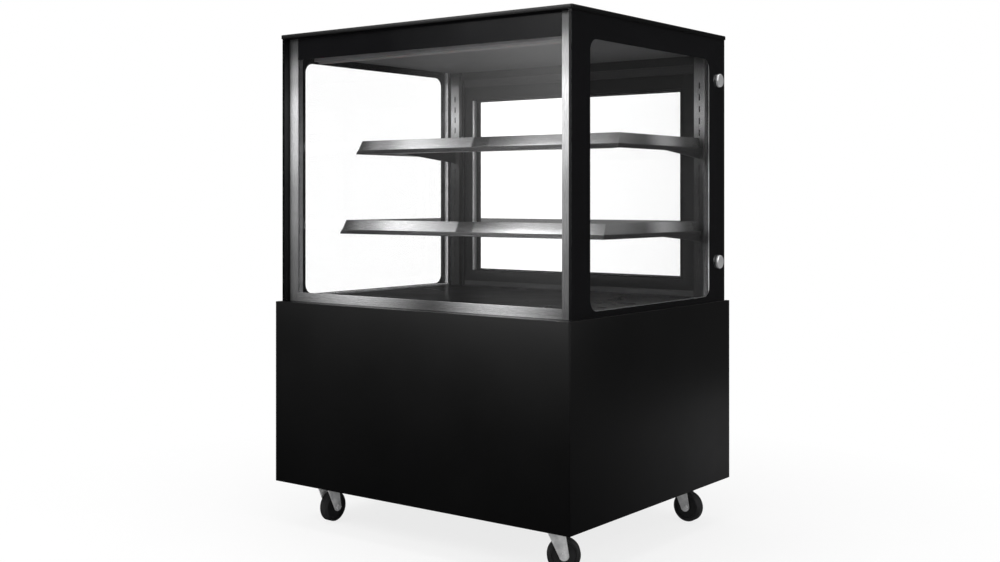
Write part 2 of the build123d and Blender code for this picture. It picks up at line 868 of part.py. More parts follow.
# Fan shroud: a shallow box in front of the condenser with a round, collared mouth
shroud_y = (condenser_y - shroud_depth, condenser_y)
shroud_x = span(condenser_x, condenser_width - end_plate)
fan_centre_z = (cond_z[0] + cond_z[1]) / 2
condenser_fan_tip = (cond_z[1] - cond_z[0]) / 2 - fan_margin
duct_radius = condenser_fan_tip + duct_margin
with BuildPart() as condenser_shroud:
    slab(shroud_x, shroud_y, (tray_top, cond_z[1] + plate_proud))
    offset(amount=-shroud_sheet, openings=condenser_shroud.faces().sort_by(Axis.Y)[-1])
    with Locations((condenser_x, shroud_y[0], fan_centre_z)):
        Cylinder(duct_radius + shroud_sheet, shroud_collar, rotation=(90, 0, 0))
        Cylinder(duct_radius, 4 * shroud_depth, rotation=(90, 0, 0), mode=Mode.SUBTRACT)
condenser_shroud.part.label = "condenser_shroud"
export_step(condenser_shroud.part, "parts/condenser_shroud.step")

# Condenser fan and its motor on a bent bracket
fan_y = shroud_y[0] - 2
motor_y1 = fan_y - condenser_fan_depth / 2 - motor_gap
motor_y0 = motor_y1 - motor_length
condenser_fan = fan_wheel(
    (condenser_x, fan_y, fan_centre_z),
    condenser_fan_hub,
    condenser_fan_tip,
    condenser_fan_depth,
    5,
    axle_radius + running,
)
condenser_fan.part.label = "condenser_fan"
export_step(condenser_fan.part, "parts/condenser_fan.step")

with BuildPart() as condenser_fan_motor:
    with BuildSketch(Plane(origin=(condenser_x, motor_y0, fan_centre_z), z_dir=(0, 1, 0))):
        Circle(motor_radius)
    extrude(amount=motor_length)
    fillet(condenser_fan_motor.edges().filter_by(GeomType.CIRCLE), motor_edge)
    with Locations((condenser_x, motor_y1, fan_centre_z)):
        Cylinder(
            axle_radius,
            motor_gap + condenser_fan_depth,
            rotation=(-90, 0, 0),
            align=(Align.CENTER, Align.CENTER, Align.MIN),
        )
    bracket_y0 = motor_y0 - motor_bracket_sheet
    slab(
        span(condenser_x, motor_bracket),
        (bracket_y0, motor_y0 + 0.5),
        (tray_top, fan_centre_z + motor_radius * 0.6),
    )
    slab(
        span(condenser_x, motor_bracket),
        (bracket_y0, bracket_y0 + motor_foot),
        (tray_top, tray_top + motor_bracket_sheet),
    )
condenser_fan_motor.part.label = "condenser_fan_motor"
export_step(condenser_fan_motor.part, "parts/condenser_fan_motor.step")

# Compressor: a welded pot on a foot plate with rubber grommets, terminal box and stubs
compressor_x = -half_x / 3
compressor_y = half_y - compressor_inset_y
pot_z0 = tray_top + grommet_height
pot_z1 = well_z0 - compressor_headroom + grommet_height
stub_top = pot_z1 + 12
discharge = (compressor_x + compressor_radius / 2, compressor_y - 14)
suction = (compressor_x - compressor_radius / 2, compressor_y + 14)
with BuildPart() as compressor:
    with BuildSketch(Plane.XZ.offset(-compressor_y)):
        with BuildLine():
            pot_edge = compressor_x + compressor_radius
            seam_z = pot_z0 + compressor_seam
            outline = Polyline(
                (compressor_x, pot_z0 + 3),
                (pot_edge - 18, pot_z0 + 3),
                (pot_edge, pot_z0 + 24),
                (pot_edge, seam_z),
                (pot_edge + compressor_rim, seam_z),
                (pot_edge + compressor_rim, seam_z + 7),
                (pot_edge - 2, seam_z + 7),
                (pot_edge - 2, pot_z1 - 40),
            )
            dome = RadiusArc(
                outline @ 1,
                (compressor_x, pot_z1),
                -(compressor_radius + 20),
            )
            Line(dome @ 1, outline @ 0)
        make_face()
    revolve(axis=Axis((compressor_x, compressor_y, 0), (0, 0, 1)))
    with BuildSketch(Plane.XY.offset(pot_z0)):
        with Locations((compressor_x, compressor_y)):
            RectangleRounded(*compressor_plate, 16)
    extrude(amount=3)
    grommet_x, grommet_y = (size / 2 - 17 for size in compressor_plate)
    with Locations(*[
        (compressor_x + sx * grommet_x, compressor_y + sy * grommet_y, tray_top)
        for sx in (-1, 1)
        for sy in (-1, 1)
    ]):
        Cylinder(9, grommet_height, align=(Align.CENTER, Align.CENTER, Align.MIN))
    box_x = compressor_x - compressor_radius
    slab(
        (box_x - terminal_box[0], box_x + 6),
        span(compressor_y, terminal_box[1]),
        span(pot_z0 + 61, terminal_box[2]),
    )
    with Locations((*discharge, stub_top), (*suction, stub_top)):
        Cylinder(tube_radius + 1.5, 60, align=(Align.CENTER, Align.CENTER, Align.MAX))
compressor.part.label = "compressor"
export_step(compressor.part, "parts/compressor.step")

# Refrigerant tubes: discharge to the condenser, liquid line with its drier, suction from the well
tube_high = stub_top + 24
condenser_entry = cond_x[0] - 1
liquid_x = cond_x[0] - 28
liquid_y = cond_y[1] - 8
liquid_low = cond_z[0] + 26
liquid_mid = cond_z[0] + 112
tube_paths = {
    "discharge": (
        [
            (*discharge, stub_top),
            (*discharge, tube_high),
            (discharge[0], condenser_y + 10, tube_high),
            (condenser_entry, condenser_y + 10, tube_high),
        ],
        16,
    ),
    "liquid": (
        [
            (condenser_entry, liquid_y, liquid_low),
            (liquid_x, liquid_y, liquid_low),
            (liquid_x, liquid_y, liquid_mid),
            (liquid_x, compressor_y - 70, liquid_mid),
            (liquid_x, compressor_y - 70, well_z0),
        ],
        12,
    ),
    "suction": (
        [
            (*suction, stub_top),
            (*suction, tube_high + 10),
            (suction[0], compressor_y - 90, tube_high + 10),
            (suction[0], compressor_y - 90, well_z0),
        ],
        14,
    ),
}
with BuildPart() as refrigerant_tubes:
    for points, bend in tube_paths.values():
        with BuildLine() as route:
            FilletPolyline(*points, radius=bend)
        with BuildSketch(Plane(origin=route.line @ 0, z_dir=route.line % 0)):
            Circle(tube_radius)
        sweep(path=route.line)
    with Locations((liquid_x, (liquid_y + compressor_y - 70) / 2, liquid_mid)):
        Cylinder(drier_radius, drier_length, rotation=(90, 0, 0))
refrigerant_tubes.part.label = "refrigerant_tubes"
export_step(refrigerant_tubes.part, "parts/refrigerant_tubes.step")

# Condensate pan: a shallow open tray under the drain
with BuildPart() as condensate_pan:
    with BuildSketch(Plane.XY.offset(tray_top)):
        with Locations((drain_x, half_y - pan_inset_y - pan_depth / 2)):
            RectangleRounded(pan_x1 - pan_x0, pan_depth, pan_corner)
    extrude(amount=pan_height)
    offset(amount=-pan_wall, openings=condensate_pan.faces().sort_by(Axis.Z)[-1])
condensate_pan.part.label = "condensate_pan"
export_step(condensate_pan.part, "parts/condensate_pan.step")

# Side glass: outer lites that run forward past the front unit, and shorter inner lites
button_y = glass_y1 - button_inset
button_points = [(button_y, base_z1 + button_low), (button_y, base_z1 + button_high)]
inner_y0 = front_y1 + fit
inner_y1 = rear_y0 - fit
mid_z = (base_z1 + lid_z0) / 2
with BuildPart() as side_glass:
    for side in (-1, 1):
        with BuildSketch(Plane.YZ.offset(min(side * glass_x0, side * glass_x1))):
            with Locations(((glass_y0 + glass_y1) / 2, mid_z)):
                Rectangle(glass_y1 - glass_y0, glass_height)
            with Locations(*button_points):
                Circle(button_shank + fit, mode=Mode.SUBTRACT)
        extrude(amount=outer_lite)
        with BuildSketch(Plane.YZ.offset(min(side * inner_x0, side * inner_x1))):
            with Locations(((inner_y0 + inner_y1) / 2, mid_z)):
                Rectangle(inner_y1 - inner_y0, glass_height)
        extrude(amount=inner_lite)
side_glass.part.label = "side_glass"
export_step(side_glass.part, "parts/side_glass.step")

# Side borders: the printed black frames behind the outer lites, with rounded windows
window_y = (glass_y0 + mask_front, glass_y1 - mask_rear)
window_z = (base_z1 + mask_bottom, lid_z0 - mask_top)
with BuildPart() as side_borders:
    for side in (-1, 1):
        with BuildSketch(Plane.YZ.offset(min(side * glass_x0, side * (glass_x0 - mask_thickness)))):
            with Locations(((glass_y0 + glass_y1) / 2, mid_z)):
                Rectangle(glass_y1 - glass_y0, glass_height)
            with Locations((sum(window_y) / 2, sum(window_z) / 2)):
                RectangleRounded(
                    window_y[1] - window_y[0],
                    window_z[1] - window_z[0],
                    mask_radius,
                    mode=Mode.SUBTRACT,
                )
            with Locations(*button_points):
                Circle(button_shank + fit, mode=Mode.SUBTRACT)
        extrude(amount=mask_thickness)
side_borders.part.label = "side_borders"
export_step(side_borders.part, "parts/side_borders.step")

# Front glass: two lites between the side borders
with BuildPart() as front_glass:
    for y in (front_y0, front_y1 - front_lite):
        slab((-unit_half_x, unit_half_x), (y, y + front_lite), (base_z1, lid_z0))
front_glass.part.label = "front_glass"
export_step(front_glass.part, "parts/front_glass.step")


def spacer_ring(plane, width, height, thickness):
    """A rectangular spacer between two lites, set in from their edges."""
    with BuildSketch(plane) as ring:
        Rectangle(width - 2 * spacer_inset, height - 2 * spacer_inset)
        Rectangle(
            width - 2 * (spacer_inset + spacer_width),
            height - 2 * (spacer_inset + spacer_width),
            mode=Mode.SUBTRACT,
        )
    extrude(ring.sketch, amount=thickness)


with BuildPart() as glass_spacers:
    spacer_ring(
        Plane(origin=(0, front_y0 + front_lite, mid_z), x_dir=(1, 0, 0), z_dir=(0, 1, 0)),
        2 * unit_half_x,
        glass_height,
        cavity,
    )
    for side in (-1, 1):
        spacer_ring(
            Plane(
                origin=(side * inner_x1, (inner_y0 + inner_y1) / 2, mid_z),
                x_dir=(0, 1, 0),
                z_dir=(side, 0, 0),
            ),
            inner_y1 - inner_y0,
            glass_height,
            cavity - mask_thickness,
        )
glass_spacers.part.label = "glass_spacers"
export_step(glass_spacers.part, "parts/glass_spacers.step")

# Front trim: one polished strip up each side and along the bottom of the front glass
trim_y0 = front_y0 - trim_thickness
trim_inner_x = unit_half_x - trim_width
with BuildPart() as front_trim:
    with BuildSketch(Plane(origin=(0, front_y0, base_z1), x_dir=(1, 0, 0), z_dir=(0, -1, 0))):
        with BuildLine():
            Polyline(
                (-unit_half_x, 0),
                (unit_half_x, 0),
                (unit_half_x, glass_height),
                (trim_inner_x, glass_height),
                (trim_inner_x, trim_bottom),
                (-trim_inner_x, trim_bottom),
                (-trim_inner_x, glass_height),
                (-unit_half_x, glass_height),
                close=True,
            )
        make_face()
    extrude(amount=trim_thickness)
    chamfer(front_trim.faces().sort_by(Axis.Y)[0].edges(), 0.6)
front_trim.part.label = "front_trim"
export_step(front_trim.part, "parts/front_trim.step")

# Front header: the black band across the top of the front glass, between the strips
with BuildPart() as front_header:
    slab(
        (-trim_inner_x + fit, trim_inner_x - fit),
        (trim_y0, front_y0),
        (lid_z0 - header_height, lid_z0),
    )
front_header.part.label = "front_header"
export_step(front_header.part, "parts/front_header.step")

# Glass buttons: round caps whose shanks hold the side glass to the rear frame
button_planes = [
    Plane(origin=(side * glass_x1, y, z), z_dir=(side, 0, 0)) for side in (-1, 1) for y, z in button_points
]
with BuildPart(*button_planes) as glass_buttons:
    Cylinder(button_radius, button_height, align=(Align.CENTER, Align.CENTER, Align.MIN))
    outer_rims = glass_buttons.edges().filter_by(GeomType.CIRCLE).group_by(Axis.X)
    fillet([*outer_rims[0], *outer_rims[-1]], button_edge)
    Cylinder(button_shank, button_shank_length, align=(Align.CENTER, Align.CENTER, Align.MAX))
glass_buttons.part.label = "glass_buttons"
export_step(glass_buttons.part, "parts/glass_buttons.step")

# Rear frame: the ring around the doorway, with blind holes for the button shanks
door_x = unit_half_x + fit + mask_thickness - post_width
sill_z = base_z1 + sill_height
head_z = lid_z0 - head_height
with BuildPart() as rear_frame:
    with BuildSketch(Plane(origin=(0, glass_y1, 0), x_dir=(1, 0, 0), z_dir=(0, -1, 0))):
        with Locations((0, mid_z)):
            Rectangle(2 * unit_half_x, glass_height)
        with Locations((0, (sill_z + head_z) / 2)):
            Rectangle(2 * door_x, head_z - sill_z, mode=Mode.SUBTRACT)
    extrude(amount=frame_depth)
    hole_depth = button_shank_length - outer_lite + 2
    for plane in button_planes:
        with Locations(plane):
            Cylinder(
                button_shank + fit,
                outer_lite + hole_depth,
                align=(Align.CENTER, Align.CENTER, Align.MAX),
                mode=Mode.SUBTRACT,
            )
rear_frame.part.label = "rear_frame"
export_step(rear_frame.part, "parts/rear_frame.step")

# Door tracks: two-lane channels at the sill and the head of the doorway
track_depth = 3 * track_sheet + 2 * lane_width
track_y0 = (rear_y0 + glass_y1) / 2 - track_depth / 2
lane_y = [track_y0 + track_sheet + lane_width / 2 + i * (lane_width + track_sheet) for i in range(2)]
track_x = door_x - fit
with BuildPart() as door_tracks:
    for seat, direction, wall in ((sill_z, 1, bottom_track_wall), (head_z, -1, top_track_wall)):
        web = sorted((seat, seat + direction * track_sheet))
        walls = sorted((seat, seat + direction * wall))
        slab((-track_x, track_x), (track_y0, track_y0 + track_depth), web)
        for i in range(3):
            wall_y = track_y0 + i * (lane_width + track_sheet)
            slab((-track_x, track_x), (wall_y, wall_y + track_sheet), walls)
door_tracks.part.label = "door_tracks"
export_step(door_tracks.part, "parts/door_tracks.step")

# Sliding doors: grooved frames around a pane, with a finger pull in the outer stile
door_gap = 1
door_z0 = sill_z + track_sheet + fit
door_z1 = head_z - track_sheet - door_lift


def door_limits(side):
    """The two ends of a closed door along X, outer end at the post."""
    return sorted((side * (door_x - door_gap), -side * door_overlap / 2))


def door_frame(side, y):
    """A door frame in its lane, grooved for the pane and routed for the finger pull."""
    x = door_limits(side)
    window = (x[0] + stile_width, x[1] - stile_width)
    window_height = (door_z0 + bottom_rail, door_z1 - top_rail)
    pocket = glass_pocket + fit
    with BuildPart() as frame:
        slab(x, span(y, door_thickness), (door_z0, door_z1))
        slab(window, span(y, 2 * door_thickness), window_height, mode=Mode.SUBTRACT)
        slab(
            (window[0] - pocket, window[1] + pocket),
            span(y, door_glass + 2 * fit),
            (window_height[0] - pocket, window_height[1] + pocket),
            mode=Mode.SUBTRACT,
        )
        pull_x = side * (door_x - door_gap - stile_width / 2)
        pull_z = (door_z0 + door_z1) / 2
        back = Plane(origin=(pull_x, y + door_thickness / 2, pull_z), x_dir=(0, 0, 1), z_dir=(0, 1, 0))
        with BuildSketch(back):
            SlotOverall(pull_length, pull_width)
        extrude(amount=-pull_depth, mode=Mode.SUBTRACT)
    return frame


def door_pane(side, y):
    """The pane that lies in the groove of a door frame."""
    x = door_limits(side)
    with BuildPart() as pane:
        slab(
            (x[0] + stile_width - glass_pocket, x[1] - stile_width + glass_pocket),
            span(y, door_glass),
            (door_z0 + bottom_rail - glass_pocket, door_z1 - top_rail + glass_pocket),
        )
    return pane


left_door_frame = door_frame(-1, lane_y[0])
left_door_frame.part.label = "left_door_frame"
export_step(left_door_frame.part, "parts/left_door_frame.step")
left_door_glass = door_pane(-1, lane_y[0])
left_door_glass.part.label = "left_door_glass"
export_step(left_door_glass.part, "parts/left_door_glass.step")
right_door_frame = door_frame(1, lane_y[1])
right_door_frame.part.label = "right_door_frame"
export_step(right_door_frame.part, "parts/right_door_frame.step")
right_door_glass = door_pane(1, lane_y[1])
right_door_glass.part.label = "right_door_glass"
export_step(right_door_glass.part, "parts/right_door_glass.step")

# Ceiling panel: an open-topped sheet tray between the inner lites
with BuildPart() as ceiling_panel:
    slab(
        (-inner_x0 + fit, inner_x0 - fit),
        (front_y1 + fit, rear_y0 - fit),
        (ceiling_z0, lid_z0),
    )
    offset(amount=-ceiling_sheet, openings=ceiling_panel.faces().sort_by(Axis.Z)[-1])
ceiling_panel.part.label = "ceiling_panel"
export_step(ceiling_panel.part, "parts/ceiling_panel.step")

# Lid: a folded sheet cap with a return flange that rests on the top edges of the glass
lid_x = glass_x1 + lid_overhang
lid_y0 = glass_y0 - lid_overhang
lid_y1 = glass_y1 + lid_overhang
with BuildPart() as lid:
    slab((-lid_x, lid_x), (lid_y0, lid_y1), (lid_z0, lid_z1))
    fillet(lid.edges().filter_by(Axis.Z), panel_corner)
    chamfer(lid.faces().sort_by(Axis.Z)[-1].edges(), panel_sheet)
    slab(
        (-lid_x + panel_sheet, lid_x - panel_sheet),
        (lid_y0 + panel_sheet, lid_y1 - panel_sheet),
        (lid_z0 + panel_sheet, lid_z1 - panel_sheet),
        mode=Mode.SUBTRACT,
    )
    slab(
        (-lid_x + lid_return, lid_x - lid_return),
        (lid_y0 + lid_return, lid_y1 - lid_return),
        (lid_z0 - 1, lid_z0 + 2 * panel_sheet),
        mode=Mode.SUBTRACT,
    )
lid.part.label = "lid"
export_step(lid.part, "parts/lid.step")

# Shelf standards: slotted channels that stand against the rear frame
standard_y0 = rear_y0 - standard_depth
slot_z = [base_z1 + first_slot + i * slot_pitch for i in range(int((ceiling_z0 - base_z1) / slot_pitch) - 1)]
with BuildPart() as shelf_standards:
    for side in (-1, 1):
        x = side * standard_offset
        with BuildSketch(Plane.XY.offset(base_z1)):
            with BuildLine():
                Polyline(
                    (x - standard_width / 2, rear_y0),
                    (x - standard_width / 2, standard_y0),
                    (x + standard_width / 2, standard_y0),
                    (x + standard_width / 2, rear_y0),
                    (x + standard_width / 2 - standard_sheet, rear_y0),
                    (x + standard_width / 2 - standard_sheet, standard_y0 + standard_sheet),
                    (x - standard_width / 2 + standard_sheet, standard_y0 + standard_sheet),
                    (x - standard_width / 2 + standard_sheet, rear_y0),
                    close=True,
                )
            make_face()
        extrude(amount=ceiling_z0 - fit - base_z1)
        with Locations(*[(x, standard_y0, z - slot_drop) for z in slot_z[1:]]):
            Box(slot_width, 3 * standard_sheet, slot_height, mode=Mode.SUBTRACT)
shelf_standards.part.label = "shelf_standards"
export_step(shelf_standards.part, "parts/shelf_standards.step")

# Shelf heights follow the slots, and their fronts are set by their reach
shelves = {
    "lower": (base_z1 + first_slot + lower_shelf_step * slot_pitch, lower_shelf_reach),
    "upper": (base_z1 + first_slot + upper_shelf_step * slot_pitch, upper_shelf_reach),
}
shelf_rear = standard_y0 - shelf_rear_gap


def flare(drop):
    """How far the nosing leans forward and the sides lean out, at a drop below the top."""
    return nosing_flare * drop / nosing_height, side_flare * drop / nosing_height


def shelf_outline(top, front, drop, wall, rear):
    """The outline of the flared shelf edge at one level, inside its wall."""
    lean, splay = flare(drop)
    half = shelf_half_width + splay - wall
    y0 = front - lean + wall
    with BuildSketch(Plane.XY.offset(top - drop)) as outline:
        with Locations((0, (y0 + rear) / 2)):
            Rectangle(2 * half, rear - y0)
    return outline.sketch


def shelf_frame(top, reach):
    """A flared nosing around the front and sides, with a flange under the pane."""
    front = shelf_rear - reach
    seat = shelf_glass + nosing_sheet / 2
    lean, splay = flare(seat)
    with BuildPart() as frame:
        outer = [shelf_outline(top, front, drop, 0, shelf_rear) for drop in (0, nosing_height)]
        loft(outer)
        drops = (-fit, nosing_height + fit)
        inner = [shelf_outline(top, front, drop, nosing_sheet, shelf_rear + 1) for drop in drops]
        loft(inner, mode=Mode.SUBTRACT)
        half = shelf_half_width + splay - nosing_sheet / 2
        y0 = front - lean + nosing_sheet / 2
        with BuildSketch(Plane.XY.offset(top - shelf_glass - nosing_sheet)):
            with Locations((0, (y0 + shelf_rear) / 2)):
                Rectangle(2 * half, shelf_rear - y0)
            with Locations((0, (y0 + shelf_rear) / 2 + shelf_flange / 2)):
                Rectangle(2 * (half - shelf_flange), shelf_rear - y0 - shelf_flange, mode=Mode.SUBTRACT)
        extrude(amount=nosing_sheet)
    return frame


lower_shelf_frame = shelf_frame(*shelves["lower"])
lower_shelf_frame.part.label = "lower_shelf_frame"
export_step(lower_shelf_frame.part, "parts/lower_shelf_frame.step")
upper_shelf_frame = shelf_frame(*shelves["upper"])
upper_shelf_frame.part.label = "upper_shelf_frame"
export_step(upper_shelf_frame.part, "parts/upper_shelf_frame.step")

with BuildPart() as shelf_panes:
    for top, reach in shelves.values():
        slab(
            (-shelf_half_width + nosing_sheet + fit, shelf_half_width - nosing_sheet - fit),
            (shelf_rear - reach + nosing_sheet + fit, shelf_rear),
            (top - shelf_glass, top),
        )
shelf_panes.part.label = "shelf_panes"
export_step(shelf_panes.part, "parts/shelf_panes.step")

# Shelf brackets: tapered arms that hook into the standards and carry the frames
with BuildPart() as shelf_brackets:
    for top, reach in shelves.values():
        arm_top = top - shelf_glass - nosing_sheet - fit
        front = shelf_rear - reach + bracket_set_back
        hook_z = [top - slot_drop - i * slot_pitch for i in range(2)]
        for side in (-1, 1):
            x = side * standard_offset - bracket_thickness / 2
            with BuildSketch(Plane.YZ.offset(x)):
                with BuildLine():
                    Polyline(
                        (standard_y0 - fit, arm_top),
                        (front, arm_top),
                        (front, arm_top - bracket_front_height),
                        (standard_y0 - fit, arm_top - bracket_rear_height),
                        close=True,
                    )
                make_face()
                for z in hook_z:
                    low = z - slot_height / 2 + fit
                    with Locations((standard_y0 + hook_reach / 2 - 1, low + 5)):
                        Rectangle(hook_reach + 2, 10)
                    with Locations((standard_y0 + hook_reach - 1, low + 5 - hook_drop)):
                        Rectangle(3, 10)
            extrude(amount=bracket_thickness)
shelf_brackets.part.label = "shelf_brackets"
export_step(shelf_brackets.part, "parts/shelf_brackets.step")

# Lamps: a strip under the front of the ceiling and one behind each nosing
lamp_half = standard_offset - bracket_thickness / 2 - 5
with BuildPart() as lamp_strips:
    slab(
        (-lamp_half, lamp_half),
        (front_y1 + lamp_inset, front_y1 + lamp_inset + lamp_depth),
        (ceiling_z0 - lamp_height, ceiling_z0),
    )
    for top, reach in shelves.values():
        lamp_top = top - shelf_glass - nosing_sheet
        lamp_y = shelf_rear - reach + nosing_sheet
        with BuildSketch(Plane.YZ.offset(-lamp_half)):
            with BuildLine():
                Polyline(
                    (lamp_y, lamp_top),
                    (lamp_y + lamp_depth, lamp_top),
                    (lamp_y + lamp_depth, lamp_top - shelf_lamp_height + lamp_depth / 2),
                    (lamp_y + lamp_depth / 2, lamp_top - shelf_lamp_height),
                    (lamp_y, lamp_top - shelf_lamp_height),
                    close=True,
                )
            make_face()
        extrude(amount=2 * lamp_half)
lamp_strips.part.label = "lamp_strips"
export_step(lamp_strips.part, "parts/lamp_strips.step")

# Casters: each has a bolted plate with its king pin, a swivelling fork and a wheel
casters = {
    "front_left": (-1, -1, 90),
    "front_right": (1, -1, 37),
    "rear_left": (-1, 1, 70),
    "rear_right": (1, 1, 0),
}
caster_x = half_x - caster_inset_x
caster_y = half_y - caster_inset_y
race_z = bolt_seat - race_height
crown_z1 = race_z - fit
crown_z0 = crown_z1 - fork_sheet
leg_inner = wheel_width / 2 + fork_gap
pin_head_z = crown_z0 - fit
with BuildPart() as caster_plates:
    for sx, sy, _ in casters.values():
        with BuildSketch(Plane.XY.offset(bolt_seat)):
            with Locations((sx * caster_x, sy * caster_y)):
                RectangleRounded(caster_plate_x, caster_plate_y, 6)
                with GridLocations(caster_bolt_x, caster_bolt_y, 2, 2):
                    Circle(bolt_radius + fit, mode=Mode.SUBTRACT)
        extrude(amount=caster_plate_thickness)
        with Locations((sx * caster_x, sy * caster_y, bolt_seat)):
            Cone(
                race_radius - 4,
                race_radius,
                race_height,
                align=(Align.CENTER, Align.CENTER, Align.MAX),
            )
            Cylinder(
                kingpin_radius,
                bolt_seat - pin_head_z + 4,
                align=(Align.CENTER, Align.CENTER, Align.MAX),
            )
        with Locations((sx * caster_x, sy * caster_y, pin_head_z)):
            Cylinder(kingpin_radius + 3, 4, align=(Align.CENTER, Align.CENTER, Align.MAX))
caster_plates.part.label = "caster_plates"
export_step(caster_plates.part, "parts/caster_plates.step")


def caster_plane(sx, sy, heading):
    """The floor plane under a swivel axis, with X pointing where the wheel trails."""
    angle = math.radians(heading)
    return Plane(
        origin=(sx * caster_x, sy * caster_y, 0),
        x_dir=(math.cos(angle), math.sin(angle), 0),
        z_dir=(0, 0, 1),
    )


with BuildPart() as fork_body:
    with BuildSketch(Plane.XY.offset(crown_z0)):
        with Locations((wheel_trail * crown_shift, 0)):
            RectangleRounded(fork_width + crown_margin, 2 * leg_inner + 2 * fork_sheet, 4)
        Circle(race_radius)
    extrude(amount=fork_sheet)
    for side in (-1, 1):
        leg_face = -leg_inner - fork_sheet if side > 0 else leg_inner
        with BuildSketch(Plane.XZ.offset(leg_face)):
            with Locations((wheel_trail, wheel_radius)):
                Circle(hub_radius)
            with Locations((wheel_trail * crown_shift, crown_z1 - 4)):
                Rectangle(fork_width, 8)
            make_hull()
            with Locations((wheel_trail, wheel_radius)):
                Circle(axle_radius + running, mode=Mode.SUBTRACT)
        extrude(amount=fork_sheet)
    Cylinder(kingpin_radius + running, 4 * crown_z1, mode=Mode.SUBTRACT)
    bolt_length = 2 * (leg_inner + fork_sheet)
    with Locations((wheel_trail, 0, wheel_radius)):
        Cylinder(axle_radius, bolt_length + 4, rotation=(90, 0, 0))
    for side in (-1, 1):
        head = Plane(
            origin=(wheel_trail, side * bolt_length / 2, wheel_radius),
            x_dir=(1, 0, 0),
            z_dir=(0, side, 0),
        )
        with BuildSketch(head):
            RegularPolygon(bolt_head, 6, major_radius=False)
        extrude(amount=bolt_head_height)

with BuildPart() as wheel_body:
    with BuildSketch(Plane.YZ):
        with BuildLine():
            Polyline(
                (axle_radius + running, -leg_inner + fit),
                (hub_radius - 2, -leg_inner + fit),
                (hub_radius, -wheel_width / 2 + wheel_dish),
                (wheel_radius - 2 * wheel_edge, -wheel_width / 2 + wheel_dish),
                (wheel_radius - 2 * wheel_edge + wheel_lip, -wheel_width / 2),
                (wheel_radius - wheel_edge, -wheel_width / 2),
                (wheel_radius, -wheel_width / 2 + wheel_edge),
                (wheel_radius, wheel_width / 2 - wheel_edge),
                (wheel_radius - wheel_edge, wheel_width / 2),
                (wheel_radius - 2 * wheel_edge + wheel_lip, wheel_width / 2),
                (wheel_radius - 2 * wheel_edge, wheel_width / 2 - wheel_dish),
                (hub_radius, wheel_width / 2 - wheel_dish),
                (hub_radius - 2, leg_inner - fit),
                (axle_radius + running, leg_inner - fit),
                close=True,
            )
        make_face()
    revolve(axis=Axis.Z)

for name, (sx, sy, heading) in casters.items():
    place = caster_plane(sx, sy, heading)
    with BuildPart(place) as fork:
        add(fork_body.part)
    fork.part.label = f"{name}_fork"
    export_step(fork.part, f"parts/{name}_fork.step")
    hub = place.location * Location((wheel_trail, 0, wheel_radius), (-90, 0, 0))
    with BuildPart(Plane(hub)) as wheel:
        add(wheel_body.part)
    wheel.part.label = f"{name}_wheel"
    export_step(wheel.part, f"parts/{name}_wheel.step")
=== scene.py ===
# %% [markdown]
# # A refrigerated cake display, dressed for its picture
#
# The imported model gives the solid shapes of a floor-standing cake display: a black steel base on
# casters, a glass box with two shelves, and sliding doors at the back. This lesson adds what the
# solids leave out, gives every surface its finish, and lights the whole as a studio would.

# %% Load the frame
import json
import math

import bmesh
import bpy
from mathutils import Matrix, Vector

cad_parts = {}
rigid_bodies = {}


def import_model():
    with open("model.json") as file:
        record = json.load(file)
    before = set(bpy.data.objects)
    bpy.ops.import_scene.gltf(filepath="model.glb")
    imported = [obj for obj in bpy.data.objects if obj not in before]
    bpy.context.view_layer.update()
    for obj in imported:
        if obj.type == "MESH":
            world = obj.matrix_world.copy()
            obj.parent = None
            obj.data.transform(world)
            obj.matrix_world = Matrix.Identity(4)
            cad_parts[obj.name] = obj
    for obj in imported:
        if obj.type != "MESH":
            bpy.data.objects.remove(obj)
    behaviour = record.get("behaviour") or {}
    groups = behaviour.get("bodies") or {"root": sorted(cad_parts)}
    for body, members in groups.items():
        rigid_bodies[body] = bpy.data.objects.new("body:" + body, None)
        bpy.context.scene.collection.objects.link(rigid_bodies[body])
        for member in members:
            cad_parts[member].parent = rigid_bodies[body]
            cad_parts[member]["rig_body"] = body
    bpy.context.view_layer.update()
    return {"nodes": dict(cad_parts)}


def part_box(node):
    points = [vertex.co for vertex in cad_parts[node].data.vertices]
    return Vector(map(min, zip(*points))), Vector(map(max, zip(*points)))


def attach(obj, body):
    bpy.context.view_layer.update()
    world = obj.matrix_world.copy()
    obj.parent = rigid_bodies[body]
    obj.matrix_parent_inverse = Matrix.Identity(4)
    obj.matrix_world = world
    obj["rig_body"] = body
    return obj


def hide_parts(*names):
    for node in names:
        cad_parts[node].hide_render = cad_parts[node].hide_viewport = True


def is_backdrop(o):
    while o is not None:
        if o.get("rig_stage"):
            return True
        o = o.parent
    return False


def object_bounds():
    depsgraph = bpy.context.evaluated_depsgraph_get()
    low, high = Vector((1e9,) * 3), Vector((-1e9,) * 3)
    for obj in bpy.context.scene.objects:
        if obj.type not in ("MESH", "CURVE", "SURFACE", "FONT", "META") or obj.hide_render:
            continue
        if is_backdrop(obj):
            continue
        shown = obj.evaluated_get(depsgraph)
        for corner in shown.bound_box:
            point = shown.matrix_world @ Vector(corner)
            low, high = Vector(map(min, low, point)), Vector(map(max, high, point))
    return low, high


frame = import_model()
nodes = frame["nodes"]

# %% [markdown]
# ## The camera
#
# The photograph looks at the front and the right-hand side from a little over three metres, at the
# height of the lower shelf. Its upright edges stay upright. A camera that is tilted down would make
# them lean, so this one is level, and a small shift of the lens lowers the picture instead.

